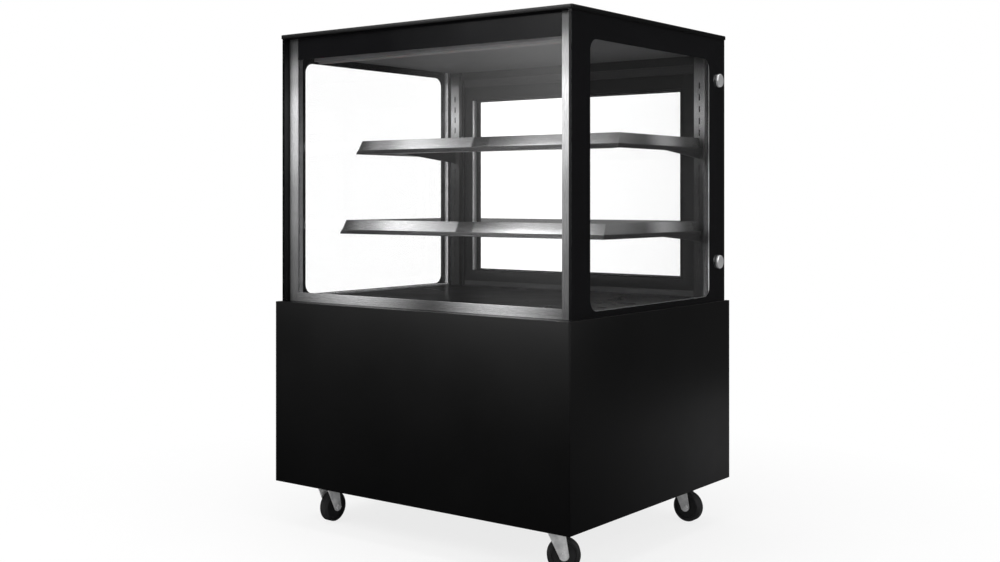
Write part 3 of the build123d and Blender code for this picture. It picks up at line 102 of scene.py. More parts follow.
# %% Place the camera
scene = bpy.context.scene
camera_data = bpy.data.cameras.new("camera")
camera_data.lens = 46.08
camera_data.sensor_width = 36
camera_data.shift_y = -0.0842
camera = bpy.data.objects.new("camera", camera_data)
camera.location = (1.9665, -2.6061, 0.826)
camera.rotation_euler = (math.radians(90), 0, math.radians(37.2))
scene.collection.objects.link(camera)
scene.camera = camera
print("camera distance", round(camera.location.length, 3))

# %% [markdown]
# ## Light paths through the glass
#
# Looking through the front glass, the shelves and the doors crosses a dozen sheets of glass. Each
# face of a sheet counts as one bounce, so the limits are raised to let the white room show.

# %% Allow enough bounces for a glass box
scene.cycles.max_bounces = 32
scene.cycles.transmission_bounces = 32
scene.cycles.transparent_max_bounces = 48
scene.view_settings.view_transform = "Standard"
print("bounces", scene.cycles.max_bounces)

# %% [markdown]
# ## Helpers for node trees
#
# A finish is a small network of nodes. It could be wired by hand in the shader editor. In code the
# same few moves come back each time: add a node, link it, stretch a range, mix two colours. Each of
# these moves gets a short helper.

# %% Add and join nodes
finishes = {}


def new_finish(name):
    """The node tree and the shader of a new material, which is kept by its name."""
    material = bpy.data.materials.new(name)
    material.use_nodes = True
    finishes[name] = material
    return material.node_tree, material.node_tree.nodes["Principled BSDF"]


def put(tree, kind, inputs=None, **settings):
    """A node with its settings and the default values of its inputs."""
    node = tree.nodes.new(kind)
    for key, value in settings.items():
        setattr(node, key, value)
    for key, value in (inputs or {}).items():
        node.inputs[key].default_value = value
    return node


def spread(tree, source, low, high, start=0.3, end=0.7):
    """A value that runs from low to high as the source runs from start to end."""
    limits = {"From Min": start, "From Max": end, "To Min": low, "To Max": high}
    node = put(tree, "ShaderNodeMapRange", limits, clamp=True)
    tree.links.new(source, node.inputs["Value"])
    return node.outputs["Result"]


def combine(tree, operation, first, second):
    """A sum, product or comparison of a value with another value or with a number."""
    node = put(tree, "ShaderNodeMath", operation=operation)
    tree.links.new(first, node.inputs[0])
    if isinstance(second, (int, float)):
        node.inputs[1].default_value = second
    else:
        tree.links.new(second, node.inputs[1])
    return node.outputs[0]


def blend_colours(tree, factor, first, second):
    """A mix of two colours, or of a colour and what another node gives."""
    node = put(tree, "ShaderNodeMix", data_type="RGBA")
    tree.links.new(factor, node.inputs["Factor"])
    for socket, value in ((node.inputs[6], first), (node.inputs[7], second)):
        if isinstance(value, tuple):
            socket.default_value = (*value, 1)
        else:
            tree.links.new(value, socket)
    return node.outputs[2]


def blend_shaders(tree, factor, first, second):
    """A shader that turns from the first into the second."""
    node = put(tree, "ShaderNodeMixShader")
    tree.links.new(factor, node.inputs["Fac"])
    tree.links.new(first, node.inputs[1])
    tree.links.new(second, node.inputs[2])
    return node.outputs["Shader"]


print("node helpers ready")

# %% [markdown]
# ## Helpers for finishes
#
# No real surface has one even tone. Paint pools a little, a brush leaves scratches, rubber gathers
# dust. A picture of each surface could be wrapped round the piece, but noise on the object's own
# coordinates needs no picture and has no seam. So every finish here is a Principled shader whose
# tone and roughness wander a little, with a fine relief.


# %% Start a finish
def object_axes(tree):
    """The X, Y and Z of a point in the object's own coordinates."""
    place = put(tree, "ShaderNodeTexCoord")
    axes = put(tree, "ShaderNodeSeparateXYZ")
    tree.links.new(place.outputs["Object"], axes.inputs["Vector"])
    return axes.outputs


def pattern(tree, stretch=(1, 1, 1), scale=30, detail=3, roughness=0.55):
    """Noise on the object's own coordinates, stretched along the axes."""
    place = put(tree, "ShaderNodeTexCoord")
    mapping = put(tree, "ShaderNodeMapping", {"Scale": stretch})
    noise = put(tree, "ShaderNodeTexNoise", {"Scale": scale, "Detail": detail, "Roughness": roughness})
    tree.links.new(place.outputs["Object"], mapping.inputs["Vector"])
    tree.links.new(mapping.outputs["Vector"], noise.inputs["Vector"])
    return noise.outputs["Fac"]


def relief(tree, shader, height, distance):
    """A bump on the shader's normal, with its depth in metres."""
    bump = put(tree, "ShaderNodeBump", {"Distance": distance, "Strength": 1.0})
    tree.links.new(height, bump.inputs["Height"])
    tree.links.new(bump.outputs["Normal"], shader.inputs["Normal"])


def worn(name, tone, roughness, metallic=0.0, stretch=(1, 1, 1), scale=12, wander=0.12,
         rough_wander=0.05, grain=900, depth=0.00002, **sockets):
    """A finish whose tone and roughness wander, with a fine grain in its relief."""
    tree, shader = new_finish(name)
    soft = pattern(tree, stretch, scale)
    dark = tuple(v * (1 - wander) for v in tone)
    light = tuple(min(1.0, v * (1 + wander)) for v in tone)
    colour = blend_colours(tree, spread(tree, soft, 0, 1), dark, light)
    tree.links.new(colour, shader.inputs["Base Color"])
    rough = spread(tree, soft, roughness - rough_wander, roughness + rough_wander)
    tree.links.new(rough, shader.inputs["Roughness"])
    relief(tree, shader, pattern(tree, stretch, grain, 2), depth)
    shader.inputs["Metallic"].default_value = metallic
    for key, value in sockets.items():
        shader.inputs[key.replace("_", " ")].default_value = value


print("finish helpers ready")

# %% [markdown]
# ## Black finishes
#
# The base, lid and rear sheets are powder-coated black with a satin sheen and a very fine orange
# peel. The deck is black too but smoother, so it mirrors the windows. The frame around the glass is
# a black print behind glass, deeper and glossier than paint. One black for all would melt them into
# one shape, so each has its own roughness and its own strength of reflection.

# %% Paint, enamel and print
worn(
    "black_powder_coat", (0.0014, 0.0014, 0.0015), 0.4, scale=5, grain=420, depth=0.00002,
    rough_wander=0.03, Specular_IOR_Level=0.22,
)
worn(
    "deck_enamel", (0.003, 0.003, 0.0033), 0.3, scale=6, grain=260, depth=0.000008,
    Specular_IOR_Level=0.03,
)
worn(
    "printed_border", (0.004, 0.004, 0.0045), 0.08, scale=9, grain=700, depth=0.000002,
    rough_wander=0.02, Specular_IOR_Level=0.35,
)
worn(
    "black_frame_plastic", (0.005, 0.005, 0.0055), 0.4, scale=18, grain=600, depth=0.000004,
    Specular_IOR_Level=0.25,
)
worn(
    "ceiling_paint", (0.08, 0.08, 0.082), 0.42, scale=4, grain=380, depth=0.00002, wander=0.2,
    Specular_IOR_Level=0.15,
)
print(len(finishes), "black finishes")

# %% [markdown]
# ## Painted reflections along brushed steel
#
# The strips around the front glass and the flared nosings are brushed stainless steel. Their long
# soft bands from pale to dark are painted reflections of the room in the base colour. A pure mirror
# of the room would show such bands only from one side. A colour ramp along the object's own axis
# keeps the painted reflections in place as one walks round the case, and faint hairlines run along
# the brushing.


# %% Helpers for steel
def painted_reflection_bands(tree, axis, limits, tones, brush):
    """Painted reflections: grey tones at shares of the way between two limits along an axis, with faint
    hairlines.
    """
    ripple_size = 0.004
    hair = pattern(tree, brush, 40, 4)
    along = spread(tree, object_axes(tree)[axis], 0, 1, *limits)
    ripple = combine(tree, "ADD", along, spread(tree, hair, -ripple_size, ripple_size))
    ramp = put(tree, "ShaderNodeValToRGB")
    ramp.color_ramp.interpolation = "EASE"
    while len(ramp.color_ramp.elements) < len(tones):
        ramp.color_ramp.elements.new(0.5)
    for element, (share, tone) in zip(ramp.color_ramp.elements, tones):
        element.position = share
        element.color = (tone, tone, tone * 1.01, 1)
    tree.links.new(ripple, ramp.inputs["Fac"])
    return ramp.outputs["Color"], hair


def outer_sides(tree, half_width):
    """0 between the two sides of a piece, and 1 past half its width on either side."""
    edge = 0.0002
    distance = combine(tree, "ABSOLUTE", object_axes(tree)["X"], 0)
    return spread(tree, distance, 0, 1, half_width - edge, half_width + edge)


def steel_surface(tree, shader, colour, hair, roughness, metallic):
    """Connect a colour of painted reflection bands, with hairlines in the roughness and the relief."""
    tree.links.new(colour, shader.inputs["Base Color"])
    tree.links.new(spread(tree, hair, roughness - 0.03, roughness + 0.03), shader.inputs["Roughness"])
    relief(tree, shader, hair, 0.000001)
    shader.inputs["Metallic"].default_value = metallic
    shader.inputs["Specular IOR Level"].default_value = 0.15


print("steel helpers ready")

# %% [markdown]
# ## Steel of the front trim
#
# The trim is four strips around the front glass, in one solid. Its uprights are brushed along Z and
# its level strips along X, so it needs two sets of bands of painted reflection. The distance from the
# middle tells which strip a point is on. The two could be split into two pieces, but one finish keeps
# the corners joined.

# %% Brush the trim
strip_width = 0.03
trim_low, trim_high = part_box("front_trim")
# Grey tones along the uprights and the level strips are painted reflections of the room's light and dark.
upright_painted_reflections = (
    (0.0, 0.17), (0.12, 0.19), (0.39, 0.37), (0.61, 0.78),
    (0.745, 0.88), (0.845, 0.44), (0.97, 0.07), (1.0, 0.06),
)
level_painted_reflections = ((0.0, 0.17), (0.27, 0.76), (0.54, 0.14), (0.77, 0.88), (1.0, 0.2))
tree, shader = new_finish("trim_steel")
upright, upright_hair = painted_reflection_bands(tree, "Z", (trim_low.z, trim_high.z), upright_painted_reflections, (60, 60, 1))
level, level_hair = painted_reflection_bands(tree, "X", (trim_low.x, trim_high.x), level_painted_reflections, (1, 60, 60))
on_upright = outer_sides(tree, trim_high.x - strip_width)
brushing = put(tree, "ShaderNodeMix")
tree.links.new(on_upright, brushing.inputs["Factor"])
tree.links.new(level_hair, brushing.inputs[2])
tree.links.new(upright_hair, brushing.inputs[3])
trim_colour = blend_colours(tree, on_upright, level, upright)
steel_surface(tree, shader, trim_colour, brushing.outputs[0], 0.27, 0.4)
print("trim between", round(trim_low.z, 3), "and", round(trim_high.z, 3))

# %% [markdown]
# ## Steel of the nosings and of the slotted standards
#
# A nosing's front face runs along X and its two skirts along Y, so it also gets two sets of painted
# reflection bands. A short dark bar across its front face near the middle is a painted reflection of
# a dark room corner. The standards are plainer: dull steel with a painted highlight near the top.

# %% Brush the nosings and the standards
skirt_width = 0.0066
shelf_low, shelf_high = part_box("upper_shelf_frame")
# Grey tones along the front face and the skirts are painted reflections; the dark bar near the middle is a
# painted reflection of a dark corner.
nosing_painted_reflections = (
    (0.0, 0.06), (0.1, 0.42), (0.24, 0.95), (0.474, 0.3), (0.479, 0.03),
    (0.538, 0.03), (0.543, 0.1), (0.76, 0.48), (0.93, 0.36), (1.0, 0.2),
)
skirt_painted_reflections = ((0.0, 0.22), (0.3, 0.12), (0.55, 0.5), (0.85, 0.09), (1.0, 0.05))
tree, shader = new_finish("nosing_steel")
nosing, hair = painted_reflection_bands(tree, "X", (shelf_low.x, shelf_high.x), nosing_painted_reflections, (1, 60, 60))
skirt, _ = painted_reflection_bands(tree, "Y", (shelf_low.y, shelf_high.y), skirt_painted_reflections, (60, 1, 60))
on_skirt = outer_sides(tree, shelf_high.x - skirt_width)
steel_surface(tree, shader, blend_colours(tree, on_skirt, nosing, skirt), hair, 0.26, 0.35)

standard_low, standard_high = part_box("shelf_standards")
# Grey tones up the standards: dull steel with a painted highlight near the top.
standard_painted_highlight = ((0.0, 0.03), (0.45, 0.04), (0.62, 0.1), (0.78, 0.8), (0.88, 0.4), (1.0, 0.05))
tree, shader = new_finish("standard_steel")
dull, hair = painted_reflection_bands(tree, "Z", (standard_low.z, standard_high.z), standard_painted_highlight, (40, 40, 1.5))
steel_surface(tree, shader, dull, hair, 0.34, 0.5)
print(len(finishes), "finishes so far")

# %% [markdown]
# ## Other metals
#
# Brackets and liner are brushed, so their noise is stretched along the brushing. The buttons that
# hold the glass are chromed, casters and screws are zinc plated with a blotchy tone, and the
# chassis is painted grey. Coils have fins, which show as fine streaks across their faces.

# %% Brushed, plated and painted metals
worn("bracket_steel", (0.05, 0.05, 0.052), 0.36, 0.6, (40, 1.5, 40), 30, 0.2, 0.08, 300, 0.00001)
worn("liner_steel", (0.52, 0.52, 0.53), 0.3, 1.0, (1, 40, 40), 20, 0.12, 0.06, 300, 0.00001)
worn("chromed", (0.85, 0.85, 0.86), 0.08, 0.65, scale=25, grain=300, depth=0.000002)
worn("zinc_plate", (0.8, 0.805, 0.81), 0.33, 0.35, scale=45, wander=0.25, grain=500, depth=0.00002)
worn("grey_frame_paint", (0.2, 0.205, 0.21), 0.5, scale=9, grain=350, depth=0.00003)
worn(
    "door_anodised", (0.007, 0.007, 0.0075), 0.36, stretch=(1, 40, 40), scale=20, grain=300,
    depth=0.00001, rough_wander=0.06, Specular_IOR_Level=0.25,
)
worn("spacer_bar", (0.85, 0.85, 0.86), 0.42, 0.1, scale=60, grain=500, depth=0.00002)
worn("copper_tube", (0.62, 0.27, 0.15), 0.3, 1.0, scale=30, wander=0.3, grain=400, depth=0.00001)
worn("coil_fins", (0.6, 0.61, 0.62), 0.38, 1.0, (60, 8, 3), 30, 0.3, 0.1, 300, 0.00003)
worn("fan_alloy", (0.5, 0.5, 0.51), 0.35, 1.0, scale=40, wander=0.2, grain=300, depth=0.00002)
worn("bead_aluminium", (0.6, 0.6, 0.61), 0.32, 0.4, (1, 30, 30), 20, 0.12, 0.05, 300, 0.000005)
# The nosing lips are the same steel as the nosings, given a darker tone as painted shade.
worn("lip_steel_painted_shade", (0.025, 0.025, 0.026), 0.3, 0.5, (1, 60, 60), 20, 0.2, 0.04, 300, 0.000002)
print(len(finishes), "finishes so far")

# %% [markdown]
# ## Plastics, rubber, foam and lamps
#
# Moulded plastics carry a fine spark texture. Tyres are dull and a little dusty where they roll.
# The lamp lenses are milky, which light under the surface gives, and the foam of the well has open
# cells on its cut faces.

# %% Moulded and soft materials
plastics = {
    "control_plastic": ((0.018, 0.018, 0.02), 0.5),
    "key_plastic": ((0.42, 0.42, 0.44), 0.5),
    "rocker_red": ((0.42, 0.012, 0.012), 0.28),
    "rocker_green": ((0.012, 0.26, 0.05), 0.28),
    "track_plastic": ((0.02, 0.02, 0.021), 0.45),
    "fan_plastic": ((0.016, 0.016, 0.017), 0.48),
    "gasket_rubber": ((0.006, 0.006, 0.0065), 0.62),
}
for name, (tone, roughness) in plastics.items():
    worn(name, tone, roughness, scale=60, grain=1100, depth=0.00003)
worn(
    "tyre_rubber", (0.011, 0.011, 0.0115), 0.62, scale=55, wander=0.4, rough_wander=0.1, grain=600,
    depth=0.00008,
)
worn(
    "compressor_enamel", (0.012, 0.012, 0.012), 0.24, scale=14, grain=300, depth=0.00004,
    Coat_Weight=0.5, Coat_Roughness=0.1,
)
worn("cut_foam", (0.72, 0.6, 0.36), 0.9, scale=80, wander=0.2, grain=500, depth=0.0004)
worn("lamp_body", (0.2, 0.2, 0.205), 0.36, scale=20, grain=500, depth=0.00001)
worn("black_silicone", (0.006, 0.006, 0.006), 0.42, scale=40, wander=0.3, grain=300, depth=0.00003)
worn(
    "milky_lens", (0.16, 0.16, 0.163), 0.35, scale=30, wander=0.05, grain=500, depth=0.00001,
    Subsurface_Weight=0.3,
)
print(len(finishes), "finishes so far")

# %% [markdown]
# ## Print and the lit display
#
# Symbols are printed in off-white ink. The digits of the display glow, so their finish gives a
# little light of its own, and the window over them is nearly black with a trace of red.

# %% Ink, glow and the dark window
worn("white_print", (0.7, 0.7, 0.69), 0.5, scale=90, wander=0.1, grain=900, depth=0.000005)
worn("display_window", (0.02, 0.003, 0.003), 0.08, scale=20, grain=400, depth=0.000002)
worn(
    "red_segments", (0.6, 0.03, 0.02), 0.3, scale=90, wander=0.1, grain=900, depth=0.000002,
    Emission_Color=(1, 0.05, 0.03, 1), Emission_Strength=0.4,
)
print(len(finishes), "finishes so far")

# %% [markdown]
# ## Clear glass
#
# Clear glass bends light and mirrors a little of the room. A solid glass shader would shut the lamps
# out of the box, because shadow rays can't cross it. Here shadow rays see a plain transparent
# shader instead, so the inside is lit through the panes. A faint smear in the roughness keeps the
# panes from looking like empty air.

# %% Let lamps through the panes
tree, shader = new_finish("clear_glass")
shader.inputs["Base Color"].default_value = (1, 1, 1, 1)
shader.inputs["Transmission Weight"].default_value = 1
shader.inputs["IOR"].default_value = 1.45
smear = spread(tree, pattern(tree, scale=7), 0.0, 0.01, 0.45, 0.8)
tree.links.new(smear, shader.inputs["Roughness"])
light_path = put(tree, "ShaderNodeLightPath").outputs
see_through = put(tree, "ShaderNodeBsdfTransparent").outputs["BSDF"]
pane = blend_shaders(tree, light_path["Is Shadow Ray"], shader.outputs["BSDF"], see_through)
tree.links.new(pane, tree.nodes["Material Output"].inputs["Surface"])
print(len(finishes), "finishes so far")

# %% [markdown]
# ## Finishes for the solids
#
# Each solid keeps its shape and takes its finish by name. The list reads like a painter's schedule.

# %% Dress the solids
schedule = {
    "black_powder_coat": ["front_panel", "left_panel", "right_panel", "rear_grille", "control_fascia", "lid"],
    "deck_enamel": ["deck_pan"],
    "printed_border": ["side_borders", "front_header"],
    "black_frame_plastic": ["rear_frame"],
    "ceiling_paint": ["ceiling_panel"],
    "trim_steel": ["front_trim"],
    "nosing_steel": ["upper_shelf_frame", "lower_shelf_frame"],
    "standard_steel": ["shelf_standards"],
    "bracket_steel": ["shelf_brackets"],
    "liner_steel": ["well_liner", "condensate_pan"],
    "chromed": ["glass_buttons"],
    "zinc_plate": ["caster_plates", "fixings"],
    "grey_frame_paint": ["base_frame", "condenser_shroud", "condenser_fan_motor"],
    "door_anodised": ["left_door_frame", "right_door_frame"],
    "spacer_bar": ["glass_spacers"],
    "copper_tube": ["refrigerant_tubes"],
    "coil_fins": ["evaporator_coil", "condenser_coil"],
    "control_plastic": ["temperature_controller", "switch_housings", "power_gland"],
    "key_plastic": ["set_key", "down_key", "up_key"],
    "rocker_red": ["power_rocker"],
    "rocker_green": ["light_rocker"],
    "track_plastic": ["door_tracks"],
    "fan_plastic": ["evaporator_fan_frames", "evaporator_fan_left", "evaporator_fan_right"],
    "fan_alloy": ["condenser_fan"],
    "compressor_enamel": ["compressor"],
    "cut_foam": ["well_insulation"],
    "lamp_body": ["lamp_strips"],
    "clear_glass": ["side_glass", "front_glass", "left_door_glass", "right_door_glass", "shelf_panes"],
    "display_window": ["controller_display"],
}
corners = ("front_left", "front_right", "rear_left", "rear_right")
schedule["zinc_plate"] += [f"{corner}_fork" for corner in corners]
schedule["tyre_rubber"] = [f"{corner}_wheel" for corner in corners]
finish_of = {name: finish for finish, names in schedule.items() for name in names}
for name, finish in finish_of.items():
    slots = nodes[name].data.materials
    slots.clear()
    slots.append(finishes[finish])
print("dressed", len(finish_of), "of", len(nodes), "left bare:", sorted(set(nodes) - set(finish_of)))

# %% [markdown]
# ## Helpers for modelling
#
# The small pieces that follow are modelled as by hand: a primitive at its size and place, shaped in
# edit mode, and finished with modifiers. An operator acts on all that is selected, so each step
# starts with nothing selected.


# %% Select, edit and round a piece
def deselect():
    """Leave nothing selected."""
    bpy.ops.object.select_all(action="DESELECT")


def only(piece):
    """Select one object and make it the active one."""
    deselect()
    piece.select_set(True)
    bpy.context.view_layer.objects.active = piece


def edit(piece):
    """Open the mesh for editing, all of it selected."""
    only(piece)
    bpy.ops.object.mode_set(mode="EDIT")
    bpy.ops.mesh.select_all(action="SELECT")


def close_edit(turn_outwards=False):
    """Close the mesh, and turn its faces outwards first where asked."""
    if turn_outwards:
        bpy.ops.mesh.select_all(action="SELECT")
        bpy.ops.mesh.normals_make_consistent(inside=False)
    bpy.ops.object.mode_set(mode="OBJECT")


def pick_faces(piece, test):
    """In edit mode, select only the faces that pass a test."""
    bpy.ops.mesh.select_all(action="DESELECT")
    mesh = bmesh.from_edit_mesh(piece.data)
    for face in mesh.faces:
        face.select_set(test(face))
    bmesh.update_edit_mesh(piece.data)


def round_edges(piece, width, segments=2, limit=35):
    """Round the edges that are sharper than the limit."""
    only(piece)
    bevel = piece.modifiers.new("round", "BEVEL")
    bevel.width = width
    bevel.segments = segments
    bevel.limit_method = "ANGLE"
    bevel.angle_limit = math.radians(limit)
    bpy.ops.object.modifier_apply(modifier=bevel.name)


print("editing helpers ready")

# %% [markdown]
# ## Start with a block, end with a settled piece
#
# Many pieces start as a box that is scaled to its size. At the end a piece's place is applied to its
# mesh, and it gets its finish, its material slot and the body that it moves with. Pieces that belong
# together are joined before that.


# %% Start and settle a piece
def block(centre, size):
    """A box of a size at a place, with both in its mesh."""
    deselect()
    bpy.ops.mesh.primitive_cube_add(size=1, location=centre)
    piece = bpy.context.object
    piece.scale = size
    bpy.ops.object.transform_apply(location=True, rotation=False, scale=True)
    return piece


def joined(pieces):
    """Several meshes made one."""
    deselect()
    for piece in pieces:
        piece.select_set(True)
    bpy.context.view_layer.objects.active = pieces[0]
    bpy.ops.object.join()
    return pieces[0]


def settle(piece, name, finish, body):
    """Give a finished mesh its place, name, finish, slot and body."""
    only(piece)
    bpy.ops.object.transform_apply(location=True, rotation=True, scale=True)
    bpy.ops.object.shade_smooth_by_angle(angle=math.radians(35))
    piece.name = name
    piece.data.name = name
    piece.data.materials.clear()
    piece.data.materials.append(finishes[finish])
    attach(piece, body)
    print(name, len(piece.data.polygons), "faces")


print("modelling helpers ready")

# %% [markdown]
# ## Beads and gaskets of the sliding doors
#
# In a real door the pane lies in a rubber gasket behind a slim black bead. Both are rectangular
# rings. Four bars could be mitred together, but a plane of the opening's size is quicker: it is
# inset by the bar's width, its middle is deleted, and what is left is extruded and softened. Pieces
# that nearly touch are kept a hair's gap apart, because two faces in one place would flicker.


# %% Make an upright ring
def upright_ring(centre, width, height, bar, depth, edge):
    """A rectangular ring that stands upright and grows towards the front."""
    deselect()
    bpy.ops.mesh.primitive_plane_add(size=1, location=centre, rotation=(math.radians(90), 0, 0))
    ring = bpy.context.object
    ring.scale = (width, height, 1)
    bpy.ops.object.transform_apply(location=False, rotation=True, scale=True)
    edit(ring)
    bpy.ops.mesh.inset(thickness=bar)
    bpy.ops.mesh.delete(type="FACE")
    bpy.ops.mesh.select_all(action="SELECT")
    bpy.ops.mesh.extrude_region_move(TRANSFORM_OT_translate={"value": (0, -depth, 0)})
    close_edit(turn_outwards=True)
    round_edges(ring, edge)
    return ring


stile = 0.045
bottom_rail = 0.038
top_rail = 0.049
play = 0.0006
hair_gap = 0.0001
print("door opening inside a stile of", stile, "and rails of", bottom_rail, "and", top_rail)

# %% [markdown]
# ## The rings in the doors
#
# The bead and the inner gasket lie on the pane's inner side, one within the other, and the outer
# gasket closes the outer side. Each door gets its own three rings, which ride with it.

# %% Fit the beads and gaskets
inner_recess = 0.0049
outer_recess = 0.0011
bead_bar = 0.0045
bead_depth = 0.0042
bead_edge = 0.0008
gasket_bar = 0.0035
gasket_edge = 0.0006
inner_gasket_depth = 0.002
outer_gasket_depth = 0.0038
for side in ("left", "right"):
    low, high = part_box(f"{side}_door_frame")
    middle_x = (low.x + high.x) / 2
    middle_z = (low.z + bottom_rail + high.z - top_rail) / 2
    width = high.x - low.x - 2 * stile - play
    height = high.z - low.z - bottom_rail - top_rail - play
    inner = (middle_x, low.y + inner_recess, middle_z)
    outer = (middle_x, high.y - outer_recess, middle_z)
    bead = upright_ring(inner, width, height, bead_bar, bead_depth, bead_edge)
    settle(bead, f"{side}_door_bead", "door_anodised", f"{side}_door")
    step = 2 * (bead_bar + hair_gap)
    gasket = upright_ring(inner, width - step, height - step, gasket_bar, inner_gasket_depth, gasket_edge)
    settle(gasket, f"{side}_door_inner_gasket", "gasket_rubber", f"{side}_door")
    gasket = upright_ring(outer, width, height, gasket_bar, outer_gasket_depth, gasket_edge)
    settle(gasket, f"{side}_door_outer_gasket", "gasket_rubber", f"{side}_door")

# %% [markdown]
# ## A pull profile inside the left door
#
# Inside the case a slim aluminium profile runs up the outer edge of the left window, so that the
# inner door can be drawn by hand when it is cleaned. Its section is an L: a flat bar is extruded from
# the door's face, and its front face is extruded sideways into a narrow flange.

# %% Stand the profile
profile_wall = 0.0016
profile_depth = 0.011
profile_flange = 0.004
profile_setback = 0.004
profile_round = 0.0003
low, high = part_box("left_door_frame")
foot_z = low.z + bottom_rail + profile_setback
head_z = high.z - top_rail - profile_setback
front_y = low.y - hair_gap - profile_depth
back_of_flange = front_y + profile_wall
profile = block(
    (low.x + stile - profile_setback, low.y - hair_gap - profile_depth / 2, (foot_z + head_z) / 2),
    (profile_wall, profile_depth, head_z - foot_z),
)
edit(profile)
bpy.ops.mesh.bisect(plane_co=(0, back_of_flange, 0), plane_no=(0, 1, 0), use_fill=False)
pick_faces(profile, lambda face: face.normal.x < -0.8 and face.calc_center_median().y < back_of_flange)
bpy.ops.mesh.extrude_region_move(TRANSFORM_OT_translate={"value": (-profile_flange, 0, 0)})
close_edit()
round_edges(profile, profile_round)
settle(profile, "left_door_pull_profile", "bead_aluminium", "left_door")

# %% [markdown]
# ## Folded lips of the shelf nosings, with painted shade and a painted shadow
#
# Below the bright sloping face of each nosing the sheet is folded once more. The lip is given a darker
# steel, which is painted shade, and a fine black strip over it is a painted shadow under the edge of
# the slope. A line painted on would stay flat, so each band is a thin sheet of its own. It starts as a
# box with the nosing's own outline. Its top is drawn in to follow the slope, its top, bottom and back
# are deleted, and Solidify gives the three sides that remain their thickness.

# %% Cut and fold a band
nosing_height = 0.036
nosing_flare = 0.017
side_flare = 0.006
fold_round = 0.0002
lean = nosing_flare / nosing_height
splay = side_flare / nosing_height


def nosing_band(node, start, end, thickness):
    """A band around the front and sides of a nosing, between two heights above its lower edge."""
    low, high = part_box(node)
    size = (high.x - low.x - 2 * splay * start, high.y - low.y - lean * start, end - start)
    centre = ((low.x + high.x) / 2, (high.y + low.y + lean * start) / 2, low.z + (start + end) / 2)
    band = block(centre, size)
    edit(band)
    mesh = bmesh.from_edit_mesh(band.data)
    for vertex in mesh.verts:
        if vertex.co.z > centre[2]:
            vertex.co.x -= math.copysign(splay * (end - start), vertex.co.x)
            if vertex.co.y < centre[1]:
                vertex.co.y += lean * (end - start)
    bmesh.update_edit_mesh(band.data)
    pick_faces(band, lambda face: abs(face.normal.z) > 0.8 or face.normal.y > 0.8)
    bpy.ops.mesh.delete(type="FACE")
    close_edit()
    wall = band.modifiers.new("wall", "SOLIDIFY")
    wall.thickness = thickness
    wall.offset = 1
    bpy.ops.object.modifier_apply(modifier=wall.name)
    round_edges(band, fold_round, 1)
    return band


lip_foot = 0.0002
lip_height = 0.0085
lip_thickness = 0.0011
shadow_strip_height = 0.0022
shadow_strip_thickness = 0.0006
# Each lip gets a darker steel as painted shade, and the thin black strip over it is a painted shadow under
# the sloping face.
for level in ("lower", "upper"):
    shelf = f"{level}_shelf_frame"
    lip = nosing_band(shelf, lip_foot, lip_height, lip_thickness)
    settle(lip, f"{level}_nosing_lip", "lip_steel_painted_shade", "cabinet")
    shadow_strip = nosing_band(shelf, lip_height, lip_height + shadow_strip_height, shadow_strip_thickness)
    settle(shadow_strip, f"{level}_nosing_painted_shadow", "black_silicone", "cabinet")

# %% [markdown]
# ## Lamp lenses
#
# Each lamp strip is a metal channel with a milky half-round lens along it. A cylinder is laid along
# the strip, and Bisect with fill cuts away the half that would be inside the channel, which leaves a
# closed bar. The lens under the ceiling looks straight down, and those under the shelves look
# downwards and back.


# %% Cut a half-round lens
lens_round = 0.0006


def half_round(start_x, end_x, y, z, radius, tilt):
    """A half-round bar along X whose round side faces away from the tilt's up direction."""
    deselect()
    bpy.ops.mesh.primitive_cylinder_add(
        vertices=24, radius=radius, depth=end_x - start_x,
        location=((start_x + end_x) / 2, y, z), rotation=(0, math.radians(90), 0),
    )
    bar = bpy.context.object
    bpy.ops.object.transform_apply(location=False, rotation=True, scale=False)
    edit(bar)
    bpy.ops.mesh.bisect(
        plane_co=(0, y, z), plane_no=(0, math.sin(tilt), math.cos(tilt)), use_fill=True,
        clear_outer=True, clear_inner=False,
    )
    close_edit()
    round_edges(bar, lens_round, limit=50)
    return bar


lens_margin = 0.012
lamp_low, lamp_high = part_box("lamp_strips")
lens_ends = (lamp_low.x + lens_margin, lamp_high.x - lens_margin)
print("lenses from", round(lens_ends[0], 3), "to", round(lens_ends[1], 3))

# %% [markdown]
# ## One lens for each lamp
#
# The ceiling lamp hangs a little behind the front glass. A shelf lamp sits under the pane, behind
# the nosing, and the lens lies on the slanted corner of its channel.

# %% Fit the lenses
lamp_depth = 0.018
lamp_inset = 0.02
ceiling_lamp_height = 0.0161
shelf_lamp_height = 0.028
shelf_glass = 0.006
nosing_sheet = 0.0015
ceiling_lens_radius = 0.007
shelf_lens_radius = 0.005
shelf_lens_tilt = math.radians(-45)
_, front_glass_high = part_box("front_glass")
lens_y = front_glass_high.y + lamp_inset + lamp_depth / 2
lens_z = lamp_high.z - ceiling_lamp_height
lens = half_round(*lens_ends, lens_y, lens_z, ceiling_lens_radius, 0)
settle(lens, "ceiling_lamp_lens", "milky_lens", "cabinet")
for level in ("lower", "upper"):
    low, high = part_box(f"{level}_shelf_frame")
    lens_y = low.y + nosing_flare + nosing_sheet + lamp_depth * 0.75 + hair_gap
    lens_z = high.z - shelf_glass - nosing_sheet - shelf_lamp_height + lamp_depth * 0.25 - hair_gap
    lens = half_round(*lens_ends, lens_y, lens_z, shelf_lens_radius, shelf_lens_tilt)
    settle(lens, f"{level}_lamp_lens", "milky_lens", "cabinet")

# %% [markdown]
# ## Silicone in the corners of the glass
#
# The front unit stands between the side panes, and a bead of black silicone closes each upright
# corner. A thin cylinder is stood in the corner, flattened towards the glass, and its ends rounded.

